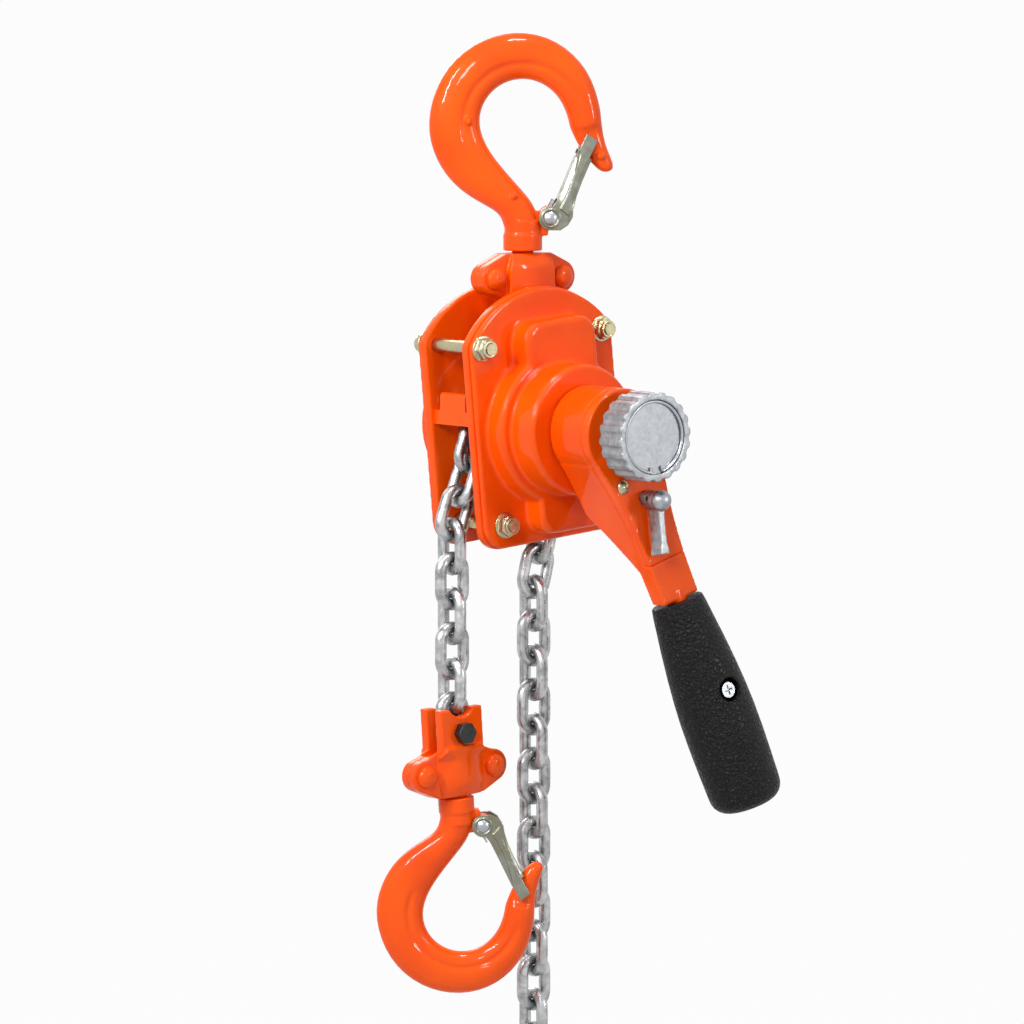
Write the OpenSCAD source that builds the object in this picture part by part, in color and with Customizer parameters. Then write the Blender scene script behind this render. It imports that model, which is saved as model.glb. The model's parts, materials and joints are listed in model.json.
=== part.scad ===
// Small lever chain hoist: hooks, swivel yokes, side plates, load sheave, brake, gears, lever and chain.
// Millimetres, +Z up. The origin is the seat inside the top hook, where it rests on what it hangs from.
// The hand lever is on the -Y side and the gears are on the +Y side.

/* [Chain] */
// Diameter of the chain wire
chain_wire = 5; // [4.6:0.1:5.2]
// Distance from one link to the next in a taut chain
chain_pitch = 15; // [14.6:0.1:15.6]
// Gap inside a link, from leg to leg
link_gap = 7; // [6.6:0.1:7.4]
// Links in the straight part of the load strand
load_links = 6; // [4:2:12]
// Links in the straight part of the slack strand
tail_links = 39; // [5:2:61]
// Lean of the load strand where it leaves the sheave
load_lean = 19.5; // [19:0.5:21]
// Lean of the slack strand where it leaves the sheave
tail_lean = 14; // [10:0.5:15]

/* [Hooks] */
// Radius inside the top hook's bowl
top_bowl_r = 19.5; // [18:0.5:22]
// Size of the bottom hook as a share of the top hook
bottom_hook_scale = 0.92; // [0.8:0.01:1]
// Thickness of the top hook at its bowl
hook_t = 13; // [12:0.5:14]
// Swivel angle of the top hook against the side plates
top_hook_turn = -33; // [-90:1:90]
// Swivel angle of the bottom hook against its yoke
bottom_hook_turn = -33; // [-90:1:90]
// Diameter of the hook shank inside its yoke
shank_d = 9; // [8:0.5:10]
// Diameter of the latch pins
latch_pin_d = 4; // [3.5:0.1:4.5]

/* [Yokes] */
// Distance between the two rivets of a yoke
rivet_pitch = 36; // [35:0.5:38]
// Thickness of the top yoke over both halves
yoke_t = 18; // [17:0.5:20]
// Diameter of the suspension pin
pin_d = 9; // [8:0.5:10]
// Diameter of the bolt through the last load link
chain_bolt_d = 6; // [5.6:0.1:6.2]

/* [Frame] */
// Clear width between the two side plates
plate_gap = 25.6; // [25:0.1:27]
// Thickness of each side plate
plate_t = 4; // [3.5:0.1:5]
// Half width of the side plates
plate_half_w = 38.5; // [38:0.5:42]
// Height of the plate's arch above the drive axis
plate_top = 60; // [59:0.5:64]
// Depth of the plate's lower edge below the drive axis
plate_bottom = 49; // [48:0.5:54]
// Angle at which the frame hangs on its suspension pin
body_tilt = 5.6; // [4:0.1:6]
// Diameter of the stay bolts
stay_d = 6; // [5.5:0.1:6]

/* [Covers] */
// Wall of the pressed covers
cover_wall = 2; // [1.8:0.1:2.4]
// Outer radius of the brake cover's first step
bulge_r = 33; // [32.5:0.5:34]
// Outer radius of the brake cover's drum
drum_r = 28; // [27:0.5:29]

/* [Lever] */
// Radius of the lever's hub
hub_r = 19.3; // [19:0.1:20.5]
// Distance from the drive axis to the start of the grip
grip_start = 74; // [70:1:90]
// Length of the rubber grip
grip_len = 95; // [80:1:130]
// Diameter of the grip at its thickest
grip_d = 33; // [30:0.5:36]
// Angle of the lever from straight down, towards +X
lever_swing = 18; // [0:1:40]
// Lean of the arm away from the frame
lever_lean = 9; // [4:0.5:10]
// Radius of the hand wheel
wheel_r = 19; // [18:0.5:22]
// Thickness of the hand wheel
wheel_t = 14.5; // [13:0.5:18]
// Scallops round the hand wheel
wheel_scallops = 20; // [16:1:26]

/* [Hidden] */
$fn = 64;
fit = 0.05;        // radial running fit of pins and shafts
air = 0.3;         // running gap between faces of different bodies
orange = [0.96, 0.33, 0.05];
zinc = [0.78, 0.76, 0.62];
steel = [0.72, 0.73, 0.75];
dark = [0.12, 0.12, 0.13];

// ---- chain geometry ----
link_play = 0.3;
wire_r = chain_wire / 2;
bend_r = link_gap / 2 + wire_r;                       // centreline radius of a link's end
half_in = (chain_pitch + link_play) / 2;              // half the inside length of a link
near_eye = half_in - link_gap / 2;                    // centre of a link's own bend
far_eye = half_in + wire_r;                           // centre of the wire at a link's end
upper_links = 4;                                      // links in each leaning stretch

// ---- load sheave: five pockets, a flat link in each, an upright link between two ----
pockets = 5;
pocket_step = 360 / pockets;
eye_r = sqrt(pow(2 * near_eye, 2) + pow(2 * far_eye, 2)
    + 8 * near_eye * far_eye * cos(pocket_step / 2)) / (2 * sin(pocket_step / 2));
upright_span = 2 * asin(near_eye / eye_r);
flat_span = 2 * asin(far_eye / eye_r);
wrap_span = 3 * upright_span + 2 * flat_span;
flat_apothem = eye_r * cos(flat_span / 2);
upright_apothem = eye_r * cos(upright_span / 2);
sheave_rest = -14;                                    // turn of the sheave from mid travel
load_eye = 180 - load_lean - pocket_step / 4 + upright_span / 2 + sheave_rest;
tail_eye = load_eye - wrap_span;
groove_w = chain_wire + 1.4;
sheave_half = 12.2;

// ---- suspension ----
neck_z = -68;                                         // top of the top hook's collar
collar_h = 6;
collar_d = 16.6;
collar_z = neck_z - collar_h;
yoke_top_z = collar_z - 1;
pin_drop = 29.6;                                      // yoke top to suspension pin
pin_z = yoke_top_z - pin_drop;
pin_dx = 5;                                           // suspension pin from the drive axis
pin_dz = 43.6;
axle_x = -(pin_dx * cos(body_tilt) - pin_dz * sin(body_tilt));
axle_z = pin_z - (pin_dx * sin(body_tilt) + pin_dz * cos(body_tilt));

// ---- frame depths, measured from the middle of the gap ----
in_y = plate_gap / 2;
out_y = in_y + plate_t;
flange_y = out_y + cover_wall + 0.6;
bulge_y = 29.5;
drum_y = 44;
stay_top = [32, 38];
stay_low = [27.5, -38.5];
stays = [[-stay_top[0], stay_top[1]], stay_top, [-stay_low[0], stay_low[1]], stay_low];
gear_flange_y = out_y + cover_wall;
gear_cover_y = 33;

// ---- strands ----
eye_at = [eye_r * cos(load_eye), eye_r * sin(load_eye)];
tail_at = [eye_r * cos(tail_eye), eye_r * sin(tail_eye)];
lean_len = far_eye + near_eye + (upper_links - 1) * chain_pitch;
load_top = [axle_x + eye_at[0] - lean_len * sin(load_lean), axle_z + eye_at[1] - lean_len * cos(load_lean)];
tail_top = [axle_x + tail_at[0] - lean_len * sin(tail_lean), axle_z + tail_at[1] - lean_len * cos(tail_lean)];
bolt_seat = half_in - chain_bolt_d / 2 - 0.15;
load_bolt_z = load_top[1] - far_eye - (load_links - 1) * chain_pitch - bolt_seat;
ring_bolt_d = 6;
ring_bolt_z = tail_top[1] - far_eye - (tail_links - 1) * chain_pitch - (half_in - ring_bolt_d / 2 - 0.15);

// ---- lever side, measured from the drive axis ----
hub_back = drum_y + 1;
hub_front = 71;
arm_t = 8.6;
arm_w = 19;
wheel_back = 78;
shaft_r = 5;
selector_at = 29;                                     // selector from the drive axis, along the arm
sleeve_r = 13;

// ---- gears: two equal idlers carry the drive from the pinion to the load gear ----
tooth = 1;                                            // gear module
pinion_n = 10;
idler_n = 32;
small_n = 12;
load_n = 30;
idler_c = tooth * (pinion_n + idler_n) / 2;
outer_gear_y = 25.5;
inner_gear_y = out_y + 1.2;
gear_w = 5;

// ---- helpers ----
// Rod along Y from y0 to y1
module y_rod(r, y0, y1) { translate([0, y1, 0]) rotate([90, 0, 0]) cylinder(r = r, h = y1 - y0); }
// A flat outline in X and Z, given thickness along Y
module y_slab(y0, y1) { translate([0, y1, 0]) rotate([90, 0, 0]) linear_extrude(y1 - y0) children(); }
// Hexagon across the flats
module hexagon(flats) { circle(r = flats / 2 / cos(30), $fn = 6); }
// Rounded rectangle from its corners
module rounded(x0, z0, x1, z1, r) {
    translate([x0 + r, z0]) square([x1 - x0 - 2 * r, z1 - z0]);
    translate([x0, z0 + r]) square([x1 - x0, z1 - z0 - 2 * r]);
    for (x = [x0 + r, x1 - r], z = [z0 + r, z1 - r]) translate([x, z]) circle(r = r);
}
// Low dome on the XY plane
module dome(r, h) {
    ball_r = (r * r + h * h) / (2 * h);
    intersection() {
        translate([0, 0, h - ball_r]) sphere(r = ball_r);
        cylinder(r = r + 1, h = h + 1);
    }
}
// Rivet along Y with a low dome at each end
module rivet(r, head_r, head_h, half) {
    y_rod(r, -half, half);
    translate([0, -half, 0]) rotate([90, 0, 0]) dome(head_r, head_h);
    translate([0, half, 0]) rotate([-90, 0, 0]) dome(head_r, head_h);
}
module in_frame() { translate([axle_x, 0, axle_z]) rotate([0, -body_tilt, 0]) children(); }
module on_axle() { translate([axle_x, 0, axle_z]) children(); }
// Toothed wheel outline: narrow teeth with backlash
module gear_2d(n, turn) {
    pitch_r = tooth * n / 2;
    step = 360 / n;
    root = pitch_r - 1.15 * tooth;
    tip = pitch_r + 0.8 * tooth;
    rotate(turn) polygon([for (i = [0:n - 1], p = [[-0.3, root], [-0.12, tip], [0.12, tip], [0.3, root]])
        p[1] * [cos((i + p[0]) * step), sin((i + p[0]) * step)]]);
}

// ---- chain ----
// One link, upright in the XZ plane, with its middle at the origin
module link() {
    for (s = [-1, 1]) {
        translate([s * bend_r, 0, -near_eye]) cylinder(r = wire_r, h = 2 * near_eye, $fn = 32);
        translate([0, 0, s * near_eye]) rotate([s * 90, 0, 0]) rotate_extrude(angle = 180, $fn = 32)
            translate([bend_r, 0]) circle(r = wire_r, $fn = 32);
    }
}
// A straight run of links hanging from its top eye, the first one flat
module hanging_run(count) {
    for (i = [0:count - 1])
        translate([0, 0, -far_eye - i * chain_pitch]) rotate([0, 0, i % 2 == 0 ? 90 : 0]) link();
}
// The leaning run from an eye on the sheave
module leaning_run(eye, lean) {
    on_axle() translate([eye[0], 0, eye[1]]) rotate([0, lean, 0]) hanging_run(upper_links);
}
// Angle of the middle of wrapped link i, counted from the load strand
function wrap_mid(i) = load_eye - upright_span / 2 - i * pocket_step / 2;
module wrapped_chain() {
    color(steel) on_axle() for (i = [0:4]) {
        upright = i % 2 == 0;
        translate([cos(wrap_mid(i)), 0, sin(wrap_mid(i))] * (upright ? upright_apothem : flat_apothem))
            rotate([0, -wrap_mid(i), 0]) rotate([0, 0, upright ? 0 : 90]) link();
    }
}
module load_chain_upper() { color(steel) leaning_run(eye_at, load_lean); }
module tail_chain_upper() { color(steel) leaning_run(tail_at, tail_lean); }
module load_chain_lower() { color(steel) translate([load_top[0], 0, load_top[1]]) hanging_run(load_links); }
module tail_chain_lower() { color(steel) translate([tail_top[0], 0, tail_top[1]]) hanging_run(tail_links); }

// ---- hook, in its own XZ plane, seat at the origin ----
// Stations from the collar round the bowl to the tip: inner x, z, outer x, z, thickness.
// The bowl's stations lie on the circle of the bowl.
function bowl(a, width, t) = [
    top_bowl_r * cos(a), top_bowl_r * (sin(a) - 1),
    (top_bowl_r + width) * cos(a), (top_bowl_r + width) * sin(a) - top_bowl_r, t];
stations = [
    [7.6, neck_z - 0.5, -7.6, neck_z - 0.5, 15.2],
    [7.2, -61, -8.4, -61, 14.6],
    [4.5, -53.5, -11.5, -57, hook_t + 1],
    [-1.7, -46.6, -18.8, -53.4, hook_t + 1],
    [-9.3, -38, -29.5, -46.5, hook_t + 1],
    [-15.6, -29.8, -37.8, -35, hook_t + 1],
    bowl(180, 22.4, hook_t + 1),
    bowl(150, 22.2, hook_t),
    bowl(122, 21.6, hook_t),
    bowl(95, 20.8, hook_t),
    bowl(68, 19.8, hook_t),
    bowl(38, 17.4, hook_t),
    bowl(10, 14.6, hook_t),
    [20.2, -21, 33.9, -18.6, hook_t - 0.4],
    [21.9, -26, 34.1, -23.6, 8.3],
    [24.6, -30.8, 35.4, -29, 8.2],
    [30.2, -37.6, 38.8, -36, 7.8],
    [34.4, -41.2, 39.2, -40, 5]];
fine = 2;             // rings between two stations
sides = 12;
// Catmull-Rom blend of four values
function blend(a, b, c, d, t) =
    0.5 * (2 * b + (c - a) * t + (2 * a - 5 * b + 4 * c - d) * t * t + (3 * b - a - 3 * c + d) * t * t * t);
last = len(stations) - 1;
function station(i, t) =
    blend(stations[max(i - 1, 0)], stations[i], stations[min(i + 1, last)], stations[min(i + 2, last)], t);
rings = [for (k = [0:last * fine])
    station(min(floor(k / fine), last - 1), k == last * fine ? 1 : (k % fine) / fine)];
// One ring of the hook: a rounded section, a little thicker near the bowl
function ring_points(s) = [for (j = [0:sides - 1])
    let (a = j * 360 / sides, u = cos(a), v = sin(a),
        x = (s[0] + s[2]) / 2 - u * (s[2] - s[0]) / 2, z = (s[1] + s[3]) / 2 - u * (s[3] - s[1]) / 2)
    [x, v * s[4] / 2 * (1 + 0.08 * u), z]];
module hook_sweep() {
    points = [for (r = rings) each ring_points(r)];
    n = len(rings);
    walls = [for (k = [0:n - 2], j = [0:sides - 1])
        let (a = k * sides + j, b = k * sides + (j + 1) % sides)
        each [[a, b + sides, b], [a, a + sides, b + sides]]];
    caps = [[for (j = [0:sides - 1]) j], [for (j = [0:sides - 1]) n * sides - 1 - j]];
    polyhedron(points, concat(walls, caps));
}
latch_pivot = [11.6, -60];
lug_half = 3.6;
latch_open = 4.7;                                     // inner half width of the latch channel
latch_wall = 1.1;
// Direction of the closed latch, from its pivot to its tip
latch_angle = atan2(33.6, 19.4);
latch_len = 37.6;
module hook_shape() {
    difference() {
        union() {
            hook_sweep();
            y_slab(-lug_half, lug_half) {
                translate(latch_pivot) circle(r = 5);
                polygon([[0, -66], [12, -65], [14, -56.5], [4, -55]]);
            }
            translate([0, 0, collar_z]) cylinder(d = collar_d, h = collar_h);
            for (p = [[-24, -18.5, 1], [-4.5, -50.5, 1], [33.4, -33.5, 0]])
                translate([p[0], -(p[2] * 3 + hook_t / 2 - 3.4), p[1]]) rotate([90, 0, 0]) dome(1.6, 0.9);
        }
        translate([latch_pivot[0], 0, latch_pivot[1]]) y_rod(latch_pin_d / 2 + fit, -10, 10);
    }
}
// The hook at a scale, with a shank and retaining head of full size below its collar
module hook_body(k) {
    scale(k) hook_shape();
    translate([0, 0, k * collar_z - 10]) cylinder(d = shank_d, h = 10.2);
    translate([0, 0, k * collar_z - 13.7]) cylinder(d = shank_d + 5, h = 4.4);
}
module latch_body() {
    difference() {
        translate([latch_pivot[0], 0, latch_pivot[1]]) rotate([0, -latch_angle, 0]) union() {
            for (s = [-1, 1]) y_slab(min(s * latch_open, s * (latch_open + latch_wall)),
                max(s * latch_open, s * (latch_open + latch_wall))) {
                circle(r = 5);
                translate([0, -1.2]) square([latch_len, 5.2]);
            }
            translate([8, -latch_open - 0.5, 4 - latch_wall])
                cube([latch_len - 17.5, 2 * latch_open + 1, latch_wall]);
        }
        translate([latch_pivot[0], 0, latch_pivot[1]]) y_rod(latch_pin_d / 2 + fit, -10, 10);
    }
}
module latch_pin_body() {
    translate([latch_pivot[0], 0, latch_pivot[1]])
        rivet(latch_pin_d / 2, 3, 1.2, latch_open + latch_wall + 0.05);
}
// Two coils beside the lug, each with a leg along the latch
module latch_spring_body() {
    coil_r = latch_pin_d / 2 + 0.3;
    wire = 0.8;
    translate([latch_pivot[0], 0, latch_pivot[1]]) rotate([0, -latch_angle, 0]) for (s = [-1, 1])
        translate([0, s * 4.15, 0]) y_slab(-wire / 2, wire / 2) difference() {
            union() {
                circle(r = coil_r + wire);
                translate([0, coil_r]) square([7.6, wire]);
            }
            circle(r = coil_r);
        }
}
module at_top_hook() { rotate([0, 0, top_hook_turn]) children(); }
module top_hook() { color(orange) at_top_hook() hook_body(1); }
module top_hook_latch() { color(zinc) at_top_hook() latch_body(); }
module top_latch_pin() { color(steel) at_top_hook() latch_pin_body(); }
module top_latch_spring() { color(steel) at_top_hook() latch_spring_body(); }

// ---- yokes: two forged halves riveted round the hook's shank, top at the origin ----
lobe_half = 4.5;
shank_play = 0.3;
module yoke_shell(side, tongue, tongue_w, tongue_half, round_end) {
    y0 = side < 0 ? -1 : 0;
    difference() {
        union() {
            y_slab(y0 * lobe_half, (y0 + 1) * lobe_half) difference() {
                union() {
                    for (s = [-1, 1]) translate([s * rivet_pitch / 2, -10.5]) circle(r = 7);
                    polygon([[-12, 0], [12, 0], [rivet_pitch / 2 + 3.5, -4.4], [rivet_pitch / 2, -17.5],
                        [10, -21], [-10, -21], [-rivet_pitch / 2, -17.5], [-rivet_pitch / 2 - 3.5, -4.4]]);
                }
                for (s = [-1, 1]) translate([s * rivet_pitch / 2, -10.5]) circle(r = 2.6);
            }
            y_slab(y0 * yoke_t / 2, (y0 + 1) * yoke_t / 2)
                polygon([[-10, 0], [10, 0], [12, -7], [12, -18], [9, -22], [-9, -22], [-12, -18], [-12, -7]]);
            y_slab(y0 * tongue_half, (y0 + 1) * tongue_half)
                translate([-tongue_w / 2, -tongue]) square([tongue_w, tongue - 20]);
            if (round_end) y_slab(y0 * tongue_half, (y0 + 1) * tongue_half)
                translate([0, -tongue]) circle(r = tongue_w / 2);
        }
        translate([0, 0, -12]) cylinder(r = shank_d / 2 + shank_play, h = 13);
        translate([0, 0, -13]) cylinder(r = shank_d / 2 + 2.5 + shank_play, h = 5);
    }
}
module yoke_rivets() {
    for (s = [-1, 1]) translate([s * rivet_pitch / 2, 0, -10.5]) rivet(2.5, 4.6, 1.7, lobe_half);
}
module top_yoke_half(side) {
    difference() {
        translate([0, 0, yoke_top_z]) yoke_shell(side, pin_drop, 17, yoke_t / 2 - 0.5, true);
        translate([0, 0, pin_z]) y_rod(pin_d / 2 + fit, -yoke_t, yoke_t);
    }
}
module top_yoke_front() { color(orange) top_yoke_half(-1); }
module top_yoke_rear() { color(orange) top_yoke_half(1); }
module top_yoke_rivets() { color(orange) translate([0, 0, yoke_top_z]) yoke_rivets(); }
module suspension_pin() { color(steel) translate([0, 0, pin_z]) y_rod(pin_d / 2, -out_y, out_y); }

// ---- bottom yoke and hook, hanging from the chain bolt ----
neck_drop = 27.5;                                     // chain bolt to the lower face of its yoke
cheek_up = 10.5;
slot_half = wire_r + 0.4;
cheek_out = 7.5;
load_tilt = 4;
hook_drop = neck_drop + 1 - bottom_hook_scale * collar_z;
module at_load() { translate([load_top[0], 0, load_bolt_z]) rotate([0, -load_tilt, 0]) children(); }
module at_bottom_hook() {
    at_load() translate([0, 0, -hook_drop]) rotate([0, 0, bottom_hook_turn]) mirror([0, 0, 1]) children();
}
module bottom_yoke_half(side) {
    at_load() difference() {
        translate([0, 0, -neck_drop]) mirror([0, 0, 1])
            yoke_shell(side, neck_drop + cheek_up, 22, cheek_out, false);
        translate([-15, -slot_half, -9.6]) cube([30, 2 * slot_half, 30]);
        translate([0, 0, 13.4]) y_rod(6.6, -10, 10);
        y_rod(chain_bolt_d / 2 + fit, -10, 10);
    }
}
module bottom_yoke_front() { color(orange) bottom_yoke_half(-1); }
module bottom_yoke_rear() { color(orange) bottom_yoke_half(1); }
module bottom_yoke_rivets() {
    color(orange) at_load() translate([0, 0, -neck_drop]) mirror([0, 0, 1]) yoke_rivets();
}
module chain_bolt() {
    color(dark) at_load() {
        y_rod(chain_bolt_d / 2, -cheek_out, cheek_out + 5.5);
        y_slab(-cheek_out - 4, -cheek_out) hexagon(8.4);
    }
}
module chain_bolt_nut() {
    color(zinc) at_load() difference() {
        y_slab(cheek_out, cheek_out + 4.8) hexagon(10);
        y_rod(chain_bolt_d / 2, 0, cheek_out + 6);
    }
}
module bottom_hook() { color(orange) at_bottom_hook() hook_body(bottom_hook_scale); }
module bottom_hook_latch() { color(zinc) at_bottom_hook() scale(bottom_hook_scale) latch_body(); }
module bottom_latch_pin() { color(steel) at_bottom_hook() scale(bottom_hook_scale) latch_pin_body(); }
module bottom_latch_spring() { color(steel) at_bottom_hook() scale(bottom_hook_scale) latch_spring_body(); }

// ---- end ring on the slack chain ----
ring_half_top = 18;
ring_half_low = 27.5;
ring_depth = 35;
ring_t = 8;
ring_bar = 7.2;
barrel_r = 5.5;
ring_slot = wire_r + 1;
module at_ring() { translate([tail_top[0], 0, ring_bolt_z]) children(); }
module x_rod(r, x0, x1) { translate([x0, 0, 0]) rotate([0, 90, 0]) cylinder(r = r, h = x1 - x0); }
module end_ring() {
    color(orange) at_ring() difference() {
        union() {
            y_slab(-ring_t / 2, ring_t / 2) difference() {
                polygon([[-ring_half_top, -6.4], [-ring_half_top, 0], [ring_half_top, 0],
                    [ring_half_top, -6.4], [ring_half_low, 4 - ring_depth],
                    [ring_half_low - 3, -ring_depth], [3 - ring_half_low, -ring_depth],
                    [-ring_half_low, 4 - ring_depth]]);
                polygon([[-12.5, -10.5], [-4, -10.5], [0, -12.6], [4, -10.5], [12.5, -10.5],
                    [20, 2.6 + ring_bar - ring_depth], [17.5, ring_bar - 1 - ring_depth],
                    [4, ring_bar - 1 - ring_depth], [0, ring_bar - ring_depth],
                    [-4, ring_bar - 1 - ring_depth],
                    [-17.5, ring_bar - 1 - ring_depth], [-20, 2.6 + ring_bar - ring_depth]]);
            }
            x_rod(barrel_r, -ring_half_top, ring_half_top);
        }
        translate([-ring_slot, -10, -9.4]) cube([2 * ring_slot, 20, 20]);
        x_rod(ring_bolt_d / 2 + fit, -30, 30);
    }
}
module end_ring_bolt() {
    color(dark) at_ring() {
        x_rod(ring_bolt_d / 2, -ring_half_top, ring_half_top + 6);
        translate([-ring_half_top - 4, 0, 0]) rotate([0, 90, 0]) linear_extrude(4) hexagon(9.6);
    }
}
module end_ring_nut() {
    color(zinc) at_ring() difference() {
        translate([ring_half_top, 0, 0]) rotate([0, 90, 0]) linear_extrude(5) hexagon(10);
        x_rod(ring_bolt_d / 2, 0, ring_half_top + 7);
    }
}

// ---- side plates ----
arch_r = (pow(plate_half_w, 2) + pow(plate_top - 39.4, 2)) / (2 * (plate_top - 39.4));
// Shield outline in the frame's own X and Z, drawn in by an inset
module shield_2d(inset = 0) {
    intersection() {
        rounded(inset - plate_half_w, inset - plate_bottom, plate_half_w - inset, plate_top + 20, 10);
        union() {
            translate([0, plate_top - arch_r]) circle(r = arch_r - inset, $fn = 128);
            translate([-60, -80]) square([120, 80 + plate_top - arch_r]);
        }
    }
}
module stay_holes(r, y0, y1) {
    for (p = stays) translate([p[0], 0, p[1]]) y_rod(r, y0, y1);
}
bush_r = 13;
journal_r = 10;
module plate(y0, y1) {
    difference() {
        y_slab(y0, y1) shield_2d();
        stay_holes(stay_end_r + fit, y0 - 1, y1 + 1);
        translate([pin_dx, 0, pin_dz]) y_rod(pin_d / 2, y0 - 1, y1 + 1);
        y_rod(bush_r, y0 - 1, y1 + 1);
    }
}
stay_end_r = 2.5;
pawl_at = [[3, 36.5], [3, -36.5]];
pawl_pin_r = 2.5;
module front_side_plate() {
    color(orange) in_frame() difference() {
        plate(-out_y, -in_y);
        for (p = pawl_at) translate([p[0], 0, p[1]]) y_rod(pawl_pin_r, -out_y - 1, -in_y + 1);
    }
}
module rear_side_plate() { color(orange) in_frame() plate(in_y, out_y); }
nut_h = 5;
module stay_bolts() {
    color(zinc) in_frame() for (p = stays) translate([p[0], 0, p[1]]) {
        y_rod(stay_d / 2, -in_y, in_y);
        y_rod(stay_end_r, -flange_y - nut_h - 1.6, -in_y);
        y_rod(stay_end_r, in_y, gear_flange_y + nut_h + 1.6);
    }
}
module stay_nut(y0, turn) {
    difference() {
        union() {
            y_slab(y0, y0 + 0.9) circle(r = 5.6);
            y_slab(y0 + 0.9, y0 + nut_h - 1) rotate(turn) hexagon(8.4);
            y_rod(3.7, y0 + nut_h - 1.2, y0 + nut_h + 0.8);
        }
        y_rod(stay_end_r, y0 - 1, y0 + nut_h + 2);
    }
}
module stay_nuts() {
    color(zinc) in_frame() for (i = [0:3]) translate([stays[i][0], 0, stays[i][1]]) {
        mirror([0, 1, 0]) stay_nut(flange_y, 11 * i);
        stay_nut(gear_flange_y, 17 * i);
    }
}

// ---- chain stripper under the sheave and guide beside the load strand ----
flange_r = 24;
pocket_floor = flat_apothem - wire_r - air;
pocket_side = bend_r + wire_r + 0.4;
groove_r = upright_apothem - bend_r - wire_r - 0.35;
strip_top = flange_r + 1.2;
module chain_stripper() {
    color(zinc) on_axle() {
        y_slab(-in_y, in_y) rounded(-13, -strip_top - 12, 1, -strip_top, 2);
        y_slab(1 - groove_w / 2, groove_w / 2 - 1) rounded(-10, -strip_top - 6, -3, -groove_r - 1, 2);
    }
}
module chain_guide() {
    color(zinc) on_axle() {
        y_slab(-in_y + 4, in_y - 4) {
            translate([-37, 1]) square([1.6, 12]);
            translate([-35.2, 13]) difference() {
                circle(r = 1.8);
                circle(r = 0.6, $fn = 24);
                translate([-3, -4]) square([6, 4]);
            }
        }
        for (s = [-1, 1]) y_slab(s < 0 ? -in_y : in_y - 4, s < 0 ? 4 - in_y : in_y)
            translate([-37, 1]) square([3.4, 6]);
    }
}

// ---- covers; depths count outwards from the middle of the gap ----
module lever_side() { mirror([0, 1, 0]) children(); }
lobe_x = [-16, 22];
lobe_top = 46.5;
lobe_low = -44.5;
low_lobe_x = [-15, 22];
module lobes_2d(inset) {
    rounded(lobe_x[0] + inset, 0, lobe_x[1] - inset, lobe_top - inset, 8);
    rounded(low_lobe_x[0] + inset, lobe_low + inset, low_lobe_x[1] - inset, 0, 8);
}
module brake_cover() {
    color(orange) in_frame() lever_side() difference() {
        union() {
            y_slab(out_y, flange_y) shield_2d(0.6);
            y_slab(out_y, bulge_y - 1) lobes_2d(0);
            y_slab(bulge_y - 1, bulge_y) lobes_2d(1);
            y_rod(bulge_r, out_y, bulge_y - 1);
            y_rod(bulge_r - 1, out_y, bulge_y);
            y_rod(drum_r, bulge_y - 1, drum_y - 1);
            y_rod(drum_r - 1, bulge_y - 1, drum_y);
        }
        y_slab(out_y - 1, bulge_y - cover_wall) lobes_2d(cover_wall);
        y_rod(bulge_r - cover_wall, out_y - 1, bulge_y - cover_wall);
        y_rod(drum_r - cover_wall, out_y - 1, drum_y - cover_wall);
        y_rod(sleeve_r + 1.5, drum_y - 5, drum_y + 1);
        stay_holes(stay_end_r + fit, out_y - 1, flange_y + 1);
    }
}
gear_bulge_r = 31;
gear_lobe_w = 20;
gear_lobe_h = 42;
gear_lobe_y = 31.5;
cover_screws = [[-34.5, 6], [34.5, 6], [-33, -24], [33, -24]];
screw_r = 2;
module gear_cover() {
    color(orange) in_frame() difference() {
        union() {
            y_slab(out_y, gear_flange_y) shield_2d(0.6);
            y_slab(out_y, gear_lobe_y) rounded(-gear_lobe_w, -gear_lobe_h, gear_lobe_w, gear_lobe_h, 12);
            y_rod(gear_bulge_r, out_y, gear_lobe_y - 1);
            y_rod(gear_bulge_r - 2, out_y, gear_cover_y);
            y_rod(10, out_y, gear_cover_y + 3);
        }
        y_slab(out_y - 1, gear_lobe_y - cover_wall)
            rounded(cover_wall - gear_lobe_w, cover_wall - gear_lobe_h, gear_lobe_w - cover_wall,
                gear_lobe_h - cover_wall, 10);
        y_rod(gear_bulge_r - 2 - cover_wall, out_y - 1, gear_cover_y - cover_wall);
        y_rod(pinion_end_r + fit, out_y, gear_cover_y + 1);
        stay_holes(stay_end_r + fit, out_y - 1, gear_flange_y + 1);
        for (p = cover_screws) translate([p[0], 0, p[1]]) y_rod(screw_r, out_y - 1, gear_flange_y + 1);
        for (s = [-1, 1]) translate([0, 0, s * idler_c]) y_rod(idler_pin_r + fit, 20, gear_lobe_y - 0.8);
    }
}
module gear_cover_screws() {
    color(zinc) in_frame() for (p = cover_screws) translate([p[0], 0, p[1]]) {
        y_rod(screw_r, out_y + 0.1, gear_flange_y + 0.1);
        difference() {
            translate([0, gear_flange_y, 0]) rotate([-90, 0, 0]) dome(3, 1.9);
            for (t = [0, 90]) rotate([0, t, 0])
                translate([-1.8, gear_flange_y + 1, -0.4]) cube([3.6, 3, 0.8]);
        }
    }
}
idler_pin_r = 2.5;

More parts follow.
